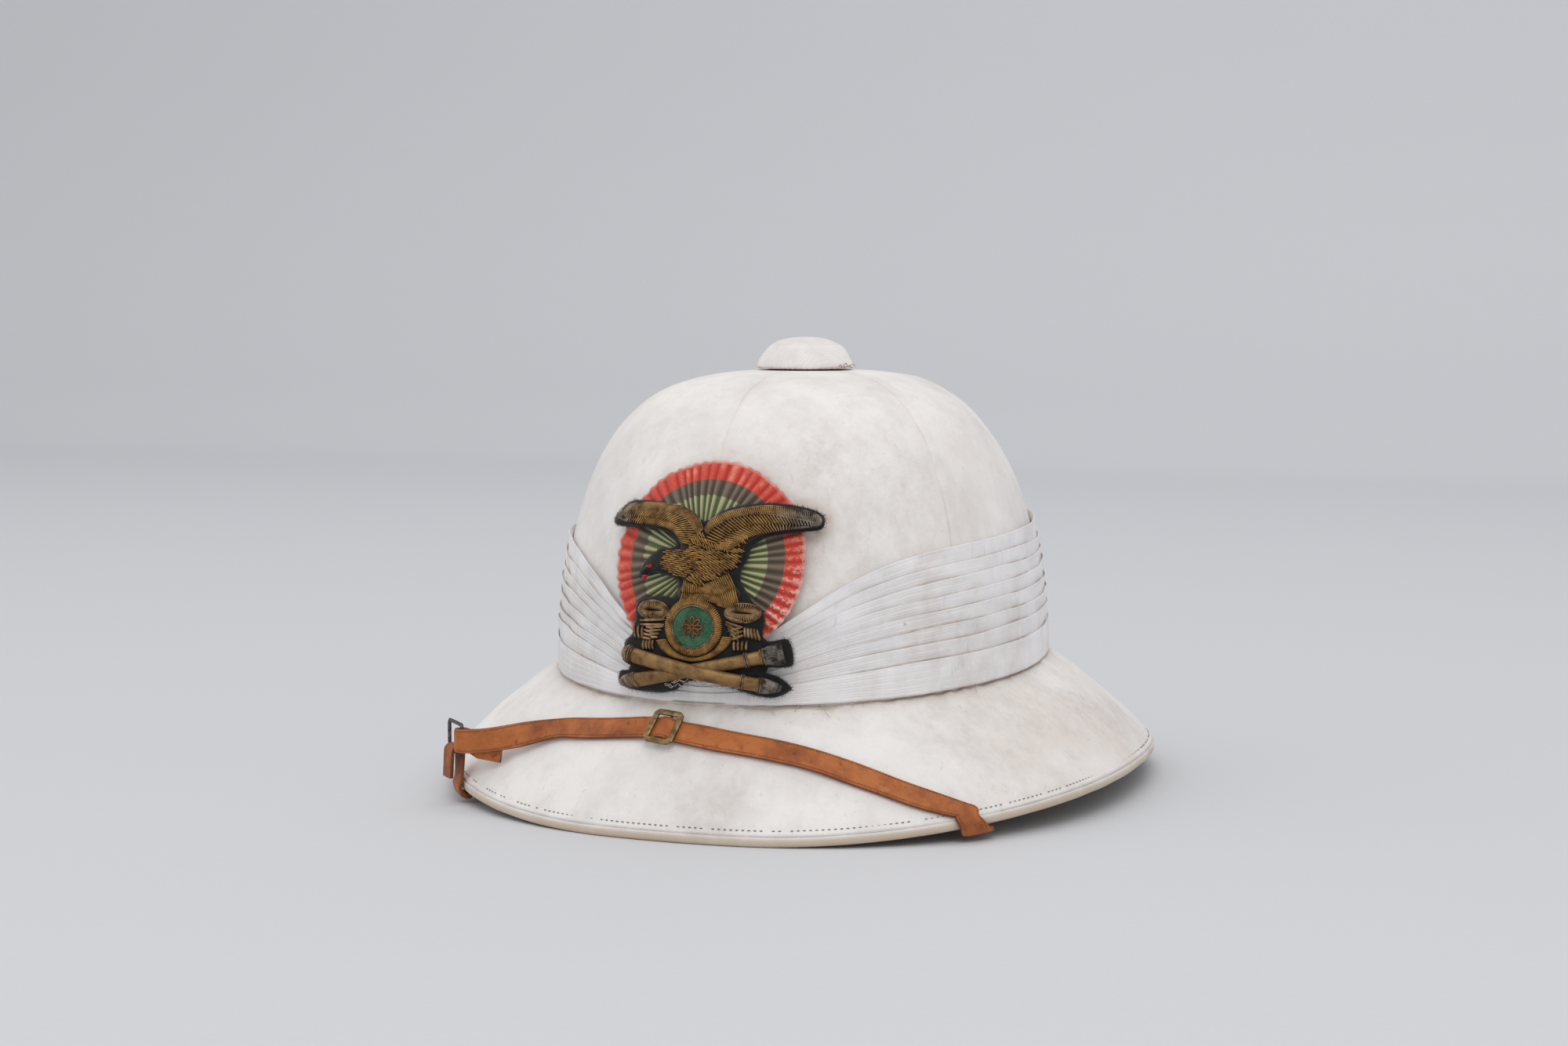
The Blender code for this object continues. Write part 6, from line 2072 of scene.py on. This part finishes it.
    def tab_fold(self) -> list[Station]:
        """Stations of the tab over the ring's lower bar and down its outer side."""
        bar, backwards = self.ring_frame()
        low = bar + backwards * self.tab_place - Vector((0, 0, self.half_ring()))
        out = Vector((-backwards.y, backwards.x, 0))
        radius = self.wire / 2 + self.fold_gap + self.thickness / 2
        stations = []
        for turn in np.linspace(math.pi, 0, 9):
            away = out * math.cos(turn) + Vector((0, 0, math.sin(turn)))
            stations.append(Station(low + away * radius, -away, -backwards, 1.0))
        for share in (0.2, 0.45, 0.7, 1.0):
            middle = low + out * (radius + self.tab_lean * share) - Vector((0, 0, self.tab_flap * share))
            stations.append(Station(middle, -out, -backwards, 1.0))
        return stations

    def sections(self, stations: list[Station]) -> Array:
        """Middle, normal, half-width vector and run at each station.

        Args:
            stations: The stations of a band.

        Returns:
            Rows of ten numbers.
        """
        rows, side, run = [], None, 0.0
        for i, station in enumerate(stations):
            ahead = stations[min(i + 1, len(stations) - 1)].middle - stations[max(i - 1, 0)].middle
            tangent = ahead.normalized()
            across = station.normal.cross(tangent).normalized()
            if side is not None and across.dot(side) < 0:
                across = -across
            if station.rim is not None:
                rim = station.rim if station.rim.dot(across) > 0 else -station.rim
                across = across.lerp(rim, station.share).normalized()
            side = across
            square = max((across - tangent * across.dot(tangent)).length, 0.55)
            run += (station.middle - stations[max(i - 1, 0)].middle).length
            half = across * self.width / 2 / square
            rows.append([*station.middle, *station.normal, *half, run])
        return np.array(rows)

    def eased_rows(self, stations: list[Station]) -> Array:
        """Sections at an even step, with the turns between them eased.

        Args:
            stations: The stations of a band.

        Returns:
            Rows of ten numbers, as from sections.
        """
        rows = self.sections(stations)
        rows = smooth_line(rows, int(rows[-1, -1] / self.row_step))
        reach = int(self.ease_reach / self.row_step)
        window = np.hanning(2 * reach + 1)
        window /= window.sum()
        half = np.pad(rows[:, 6:9], ((reach, reach), (0, 0)), mode="edge")
        rows[:, 6:9] = np.stack([np.convolve(half[:, k], window, mode="valid") for k in range(3)], -1)
        return rows

    def band(self, name: str, stations: list[Station], leather: Material) -> Piece:
        """Builds a leather band with rounded edges.

        Args:
            name: Name of the piece.
            stations: Its stations.
            leather: Its finish.

        Returns:
            The piece.
        """
        rows = self.eased_rows(stations)
        turn = turns(28)
        u, w = squarish(np.cos(turn), 0.28), squarish(np.sin(turn), 0.55)
        grid, sides, edges = [], [], []
        for row in rows:
            middle, normal, half = row[0:3], unit(row[3:6]), row[6:9]
            worn = 1 + 0.03 * math.sin(row[9] * 160) * math.sin(row[9] * 47)
            grid.append(middle + u[:, None] * half * worn + w[:, None] * normal * self.thickness / 2)
            sides.append(u)
            edges.append(np.clip((np.abs(u) - 0.93) / 0.06, 0, 1) * 0.85)
        marks = {"side": np.stack(sides), "edge": np.stack(edges)}
        return add_piece(name, tube_with_ends(name, np.stack(grid), marks), leather)

    def stitch_lines(self, stations: list[Station], inset: float) -> list[Array]:
        """Lines along both edges of a band's face."""
        rows = self.eased_rows(stations)[::2]
        face = rows[:, 0:3] + unit(rows[:, 3:6]) * (self.thickness / 2 - 0.00002)
        return [face + rows[:, 6:9] * inset, face - rows[:, 6:9] * inset]

    def make_leather(self, leather: Material, thread: Material) -> dict[str, Piece]:
        """Chin strap, tab and their stitches.

        Args:
            leather: Finish of the leather.
            thread: Finish of the stitches.

        Returns:
            The pieces by name.
        """
        on_brim = self.over_brim()
        wrap = self.rim_wrap(math.radians(self.route[0][0]), 1.6)
        strap = self.hidden_run(self.strap_under) + wrap + on_brim[1:] + self.free_run(on_brim)
        tab_wrap = self.rim_wrap(math.radians(self.tab_azimuth))
        tab = self.hidden_run(self.tab_under) + tab_wrap + self.tab_fold()
        pieces = {"strap_leather": self.band("strap_leather", strap, leather),
                  "tab_leather": self.band("tab_leather", tab, leather)}
        seen = wrap[2:] + on_brim[1:] + self.free_run(on_brim)[:15]
        lines = self.stitch_lines(seen, 0.80)
        source = line_mesh("strap_stitch_lines", lines, [0.0001, 0.0001], [0, 0])
        pieces["strap_stitches"] = self.stitches.grow("strap_stitches", source, {
            "Spacing": 0.0013, "Length": 0.0010, "Thickness": 0.00028, "Kept": 0.96, "Seed": 4,
            "Finish": thread})
        return pieces

    def loop_path(self, half_long: float, half_wide: float, corner: float, steps: int) -> Array:
        """Flat path round a rectangle with round corners."""
        points = []
        for index, (sx, sy) in enumerate(((1, 1), (-1, 1), (-1, -1), (1, -1))):
            for turn in np.radians(np.linspace(90 * index, 90 * index + 90, steps)):
                points.append((sx * (half_long - corner) + corner * math.cos(turn),
                               sy * (half_wide - corner) + corner * math.sin(turn)))
        return smooth_line(points, 120, True)

    def swept_loop(self, path: Array, half_wide: float, half_thick: float, power: float,
                   origin: Vector, along: Vector, across: Vector, up: Vector) -> Array:
        """Sweeps a rounded section round a flat loop.

        Args:
            path: The flat loop.
            half_wide: Half the section's size in the loop's plane.
            half_thick: Half its size across the plane.
            power: Squareness of the section, less is squarer.
            origin: The loop's middle.
            along: Direction of the path's first coordinate.
            across: Direction of its second one.
            up: Direction across the plane.

        Returns:
            Places by path point and section point.
        """
        tangent = unit(np.roll(path, -1, 0) - np.roll(path, 1, 0))
        out = np.stack([tangent[:, 1], -tangent[:, 0]], -1)
        turn = turns(20)
        u, w = squarish(np.cos(turn), power) * half_wide, squarish(np.sin(turn), power) * half_thick
        flat = path[:, None, :] + out[:, None, :] * u[None, :, None]
        frame_x, frame_y, frame_z = (np.array(v) for v in (along, across, up))
        middle = np.array(origin) + w[None, :, None] * frame_z
        return middle + flat[..., :1] * frame_x + flat[..., 1:] * frame_y

    def make_buckle(self, brass: Material) -> Piece:
        """Flat slide buckle with its bar under the strap.

        Args:
            brass: Its finish.

        Returns:
            The piece.
        """
        azimuth, share = math.radians(self.buckle_azimuth), self.buckle_share()
        normal = Vector(self.form.brim_normal(azimuth, share))
        ground = Vector(self.form.brim(azimuth, share))
        near = sorted(self.over_brim(), key=lambda s: (s.middle - ground).length)[:2]
        along = near[0].middle - near[1].middle
        along = (along - normal * along.dot(normal)).normalized()
        across = normal.cross(along)
        foot = self.gap + self.thickness + self.buckle_clearance
        window = self.width / 2 + self.buckle_clearance
        half = self.buckle_band / 2
        path = self.loop_path(self.buckle_length / 2 - half, window + half, 0.0018, 6)
        middle = ground + normal * (foot + self.buckle_thickness / 2)
        loop = self.swept_loop(path, half, self.buckle_thickness / 2, 0.45, middle, along, across, normal)
        frame_mesh = ring_mesh("buckle_frame", loop, {})
        low = ground + normal * (self.gap * 0.7 + self.buckle_thickness / 2)
        turn = turns(16)
        rows = []
        for side, rise in self.bar_path:
            centre = np.array(low + across * (window + half) * side + normal * rise)
            rows.append(centre + np.cos(turn)[:, None] * np.array(along) * 0.0006
                        + np.sin(turn)[:, None] * np.array(normal) * 0.0005)
        bar_mesh = tube_with_ends("buckle_bar", np.stack(rows), {})
        shape = bmesh.new()
        shape.from_mesh(frame_mesh)
        shape.from_mesh(bar_mesh)
        shape.to_mesh(frame_mesh)
        shape.free()
        return add_piece("buckle_frame", frame_mesh, brass)

    def make_ring(self, steel: Material) -> Piece:
        """Wire ring between strap and tab.

        Args:
            steel: Its finish.

        Returns:
            The piece.
        """
        bar, backwards = self.ring_frame()
        middle = bar + backwards * self.ring_length / 2
        out = Vector((-backwards.y, backwards.x, 0))
        path = self.loop_path(self.ring_length / 2, self.half_ring(), self.wire * 1.1, 6)
        up = Vector((0, 0, 1))
        loop = self.swept_loop(path, self.wire / 2, self.wire / 2, 1.0, middle, backwards, up, out)
        return add_piece("ring_wire", ring_mesh("ring_wire", loop, {}), steel)


@dataclass
class LooseThreads:
    """Threads that have worked loose at the band's foot and beside the button."""

    form: HelmetForm
    tubes: GrowthTree
    radius: float = 0.00012

    def make(self, pale: Material, dark: Material) -> list[Piece]:
        """Builds the threads.

        Args:
            pale: Finish of the cotton ends.
            dark: Finish of the darker ends.

        Returns:
            The pieces.
        """
        ends = []
        bits = ((16, 0.0045, 0.4), (22, 0.003, -0.5), (26, 0.0065, 1.1), (33, 0.0025, 0.2), (-30, 0.003, 0.5),
                (64, 0.004, -0.6))
        for azimuth, length, sway in bits:
            steps = np.linspace(0, 1, 8)
            angle = np.radians(azimuth) + sway * steps * 0.03 + 0.006 * np.sin(steps * 6)
            share = 0.004 + steps * length / 0.055
            ends.append(self.form.brim(angle, share, 0.0009 - 0.0003 * steps + 0.0006 * np.sin(steps * 3.1)))
        long_end = np.radians(np.linspace(8, 30, 26))
        ends.append(self.form.brim(long_end, 0.03 + 0.006 * np.sin(long_end * 30), 0.0005))
        tuft = []
        for turn, rise in ((62, 0.0016), (70, 0.0024), (76, 0.0012), (84, 0.0019), (67, 0.0008)):
            steps = np.linspace(0, 1, 7)
            out = heading(math.radians(turn))
            reach = 0.0205 + steps * 0.0042
            x, y = reach * out[1] + 0.0006 * np.sin(steps * 5), self.form.middle_y - reach * out[0]
            z = self.form.apex + 0.0012 + rise * np.sin(steps * 2.6) - 0.0006 * steps
            tuft.append(np.stack([x, y, z], -1))
        made = []
        for name, lines, finish in (("band_loose_threads", ends, pale), ("button_loose_threads", tuft, dark)):
            mesh = line_mesh(name, lines, [self.radius] * len(lines), [0.0] * len(lines))
            made.append(self.tubes.grow(name, mesh, {"Sides": 6, "Finish": finish}))
        return made


@dataclass
class Studio:
    """Pale paper sweep, soft lights and the camera."""

    camera_place: Triple = (0.3990, -1.0797, 0.2107)
    yaw: float = 20.98
    pitch: float = 4.94
    lens: float = 59.4

    def make_floor(self, paper: Material) -> Piece:
        """Paper sweep: a floor that curves up far behind.

        Args:
            paper: Its finish.

        Returns:
            The floor.
        """
        section = [(-2.5, 0.0), (1.6, 0.0), (2.0, 0.03), (2.35, 0.15), (2.6, 0.4), (2.72, 0.8), (2.75, 1.4),
                   (2.75, 3.2)]
        line = smooth_line(section, 60)
        xs = np.linspace(-4, 4, 9)
        points = np.array([(x, y, max(z, 0.0) - 0.00005) for y, z in line for x in xs])
        wide = len(xs)
        faces = [(r * wide + c, r * wide + c + 1, (r + 1) * wide + c + 1, (r + 1) * wide + c)
                 for r in range(len(line) - 1) for c in range(wide - 1)]
        mesh = bpy.data.meshes.new("paper_sweep")
        mesh.from_pydata(points.tolist(), [], faces)
        floor = add_piece("paper_sweep", mesh, paper)
        return floor

    def add_light(self, name: str, place: Triple, size: float, power: float,
                  colour: Triple, aim: Triple) -> None:
        """Adds a soft square light that looks at the helmet or at another place."""
        data = bpy.data.lights.new(name, "AREA")
        data.shape, data.size, data.energy, data.color = "SQUARE", size, power, colour
        lamp = bpy.data.objects.new(name, data)
        lamp.location = place
        lamp.rotation_euler = (Vector(aim) - Vector(place)).to_track_quat("-Z", "Y").to_euler()
        bpy.context.scene.collection.objects.link(lamp)

    def make(self) -> None:
        """Sets the lights, the sky and the camera."""
        scene = bpy.context.scene
        scene.view_settings.view_transform = "Standard"
        world = bpy.data.worlds.new("studio_air")
        world.use_nodes = True
        sky = world.node_tree.nodes["Background"].inputs
        sky["Color"].default_value = (0.985, 0.985, 1.0, 1)
        sky["Strength"].default_value = 0.72
        scene.world = world
        helmet = (0.0, 0.0, 0.08)
        for name, place, size, power, colour, aim in (
                ("key_light", (0.7, -1.5, 1.9), 1.4, 15, (1.0, 0.985, 0.97), helmet),
                ("fill_light", (-1.6, -0.9, 1.2), 1.8, 3, (0.98, 0.99, 1.0), helmet),
                ("top_light", (0.1, 0.4, 2.3), 1.8, 3, (1.0, 0.99, 0.98), helmet),
                ("wall_light", (0.0, 0.9, 2.6), 1.6, 9, (0.99, 0.99, 1.0), (-0.6, 2.7, 0.7))):
            self.add_light(name, place, size, power, colour, aim)
        data = bpy.data.cameras.new("photo_camera")
        data.lens = self.lens
        data.sensor_width = 36.0
        data.sensor_fit = "HORIZONTAL"
        camera = bpy.data.objects.new("photo_camera", data)
        camera.location = self.camera_place
        yaw, pitch = math.radians(self.yaw), math.radians(self.pitch)
        look = Vector((-math.sin(yaw) * math.cos(pitch), math.cos(yaw) * math.cos(pitch), -math.sin(pitch)))
        camera.rotation_euler = look.to_track_quat("-Z", "Y").to_euler()
        scene.collection.objects.link(camera)
        scene.camera = camera


@dataclass
class Helmet:
    """The whole dressed helmet."""

    form: HelmetForm = field(default_factory=HelmetForm)
    made: list[str] = field(default_factory=list)

    def keep(self, piece: Piece, slot: str, *stands_for: str) -> Piece:
        """Puts a piece on the helmet's body and reports it.

        Args:
            piece: The piece.
            slot: Name of the record's material slot for its finish; not used.
            *stands_for: Nodes of the solid model that it replaces.

        Returns:
            The piece.
        """
        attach(piece, "root")
        if stands_for:
            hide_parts(*stands_for)
        self.made.append(piece.name)
        LOG.info("%s: %d faces", piece.name, len(piece.data.polygons))
        return piece

    def dress(self) -> None:
        """Builds every piece."""
        badge = BadgePlane(self.form)
        tubes, stitches = tube_tree(), stitch_tree()
        canvas = ChalkedCloth("canvas_cloth").make()
        thin = ChalkedCloth("band_muslin", light=(240, 239, 240), shade=(227, 226, 227), pitch=0.0005,
                            weave=0.03, lines=135.0).make()
        shell = ShellCloth(self.form, badge)
        body = self.keep(shell.make(canvas), "canvas", "crown", "brim")
        band = self.keep(PleatedBand(self.form).make(thin), "band_cloth", "puggaree")
        self.keep(VentButton(self.form).make(canvas), "button_cloth", "vent_button")
        around = np.linspace(0, FULL_TURN, 720)
        grey_thread = SewingThread("grey_thread", (128, 118, 108)).make()
        rim = line_mesh("rim_line", [shell.rim_line(around)], [0.0001], [0])
        rim_stitches = stitches.grow("rim_stitches", rim, {
            "Spacing": 0.0024, "Length": 0.0013, "Thickness": 0.00042, "Kept": 0.78, "Seed": 9,
            "Finish": grey_thread})
        self.keep(rim_stitches, "canvas")
        self.dress_badge(badge, tubes)
        self.dress_strap(stitches)
        pale = SewingThread("pale_thread", (214, 200, 180)).make()
        brown = SewingThread("brown_thread", (120, 84, 58)).make()
        for piece in LooseThreads(self.form, tubes).make(pale, brown):
            self.keep(piece, "canvas")

    def dress_badge(self, badge: BadgePlane, tubes: GrowthTree) -> None:
        """Cockade, felt and embroidery.

        Args:
            badge: Where the badge lies.
            tubes: Tree that makes wires.
        """
        self.keep(Cockade(badge).make(PleatedRibbon().make()), "ribbon", "cockade")
        work = EmbroideredBadge(badge, tubes)
        felt = WoolFelt("black_felt", (14, 13, 14), (38, 36, 37)).make()
        fuzz = WoolFelt("felt_fibre", (20, 18, 18), (52, 48, 46)).make()
        padding = WoolFelt("wire_padding", (30, 21, 13), (52, 37, 22)).make()
        green = WoolFelt("green_wool", (26, 68, 46), (72, 112, 82)).make()
        red = WoolFelt("red_wool", (150, 16, 20), (196, 40, 40)).make()
        wire = CoiledWire().make()
        copper = CoiledWire("copper_wire", gilt=(188, 112, 72), brown=(112, 58, 34)).make()
        pale = SewingThread("felt_thread", (226, 222, 216)).make()
        for piece, node in zip(work.make_felt(felt, fuzz, pale), ("badge_felt", None, None)):
            self.keep(piece, "felt", *([node] if node else []))
        black = SewingThread("beak_thread", (34, 30, 30)).make()
        for piece in work.make_eagle(padding, wire, red, black):
            self.keep(piece, "bullion", *(["eagle"] if piece.name == "eagle_wires" else []))
        stands = {"green_field": ("green_felt", "green_disc"), "ring_wires": ("bullion", "disc_ring"),
                  "horn_wires": ("bullion", "horn")}
        for piece in work.make_horn_and_ring(wire, green, copper, padding):
            slot, *nodes = stands.get(piece.name, ("bullion",))
            self.keep(piece, slot, *nodes)
        knots, tassels = work.make_knots(wire)
        self.keep(knots, "bullion", "knot_left", "knot_right")
        self.keep(tassels, "bullion", "cords_left", "cords_right")
        thread = WoundThread().make()
        stands = {"barrel_over_thread": ("barrel_over",),
                  "barrel_under_thread": ("barrel_under_left", "barrel_under_right")}
        for piece in work.make_barrels(thread, wire):
            self.keep(piece, "gilt_thread", *stands.get(piece.name, ()))

    def dress_strap(self, stitches: GrowthTree) -> None:
        """Leather, buckle, ring and the hidden fastenings.

        Args:
            stitches: Tree that lays stitches.
        """
        work = StrapWork(self.form, stitches)
        leather = SaddleLeather().make()
        thread = SewingThread("strap_thread", (150, 92, 58)).make()
        pieces = work.make_leather(leather, thread)
        self.keep(pieces["strap_leather"], "leather", "chin_strap")
        self.keep(pieces["tab_leather"], "leather", "strap_tab")
        self.keep(pieces["strap_stitches"], "leather")
        brass = AgedMetal("aged_brass", (170, 142, 100), (112, 92, 64)).make()
        steel = AgedMetal("dark_steel", (112, 108, 108), (62, 58, 58)).make()
        self.keep(work.make_buckle(brass), "buckle_brass", "strap_buckle")
        self.keep(work.make_ring(steel), "ring_metal", "strap_ring")
        for node in ("button_stem", "strap_stud_left", "strap_stud_right"):
            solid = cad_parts[node]
            solid.data.materials.clear()
            solid.data.materials.append(brass)
            LOG.info("%s: dressed", node)


def main() -> None:
    """Builds the studio and the helmet, and logs how many pieces were made."""
    logging.basicConfig(level=logging.INFO, format="%(message)s")
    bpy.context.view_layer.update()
    studio = Studio()
    studio.make_floor(StudioPaper().make())
    studio.make()
    helmet = Helmet()
    helmet.dress()
    LOG.info("pieces: %d", len(helmet.made))


if __name__ == "__main__":
    main()
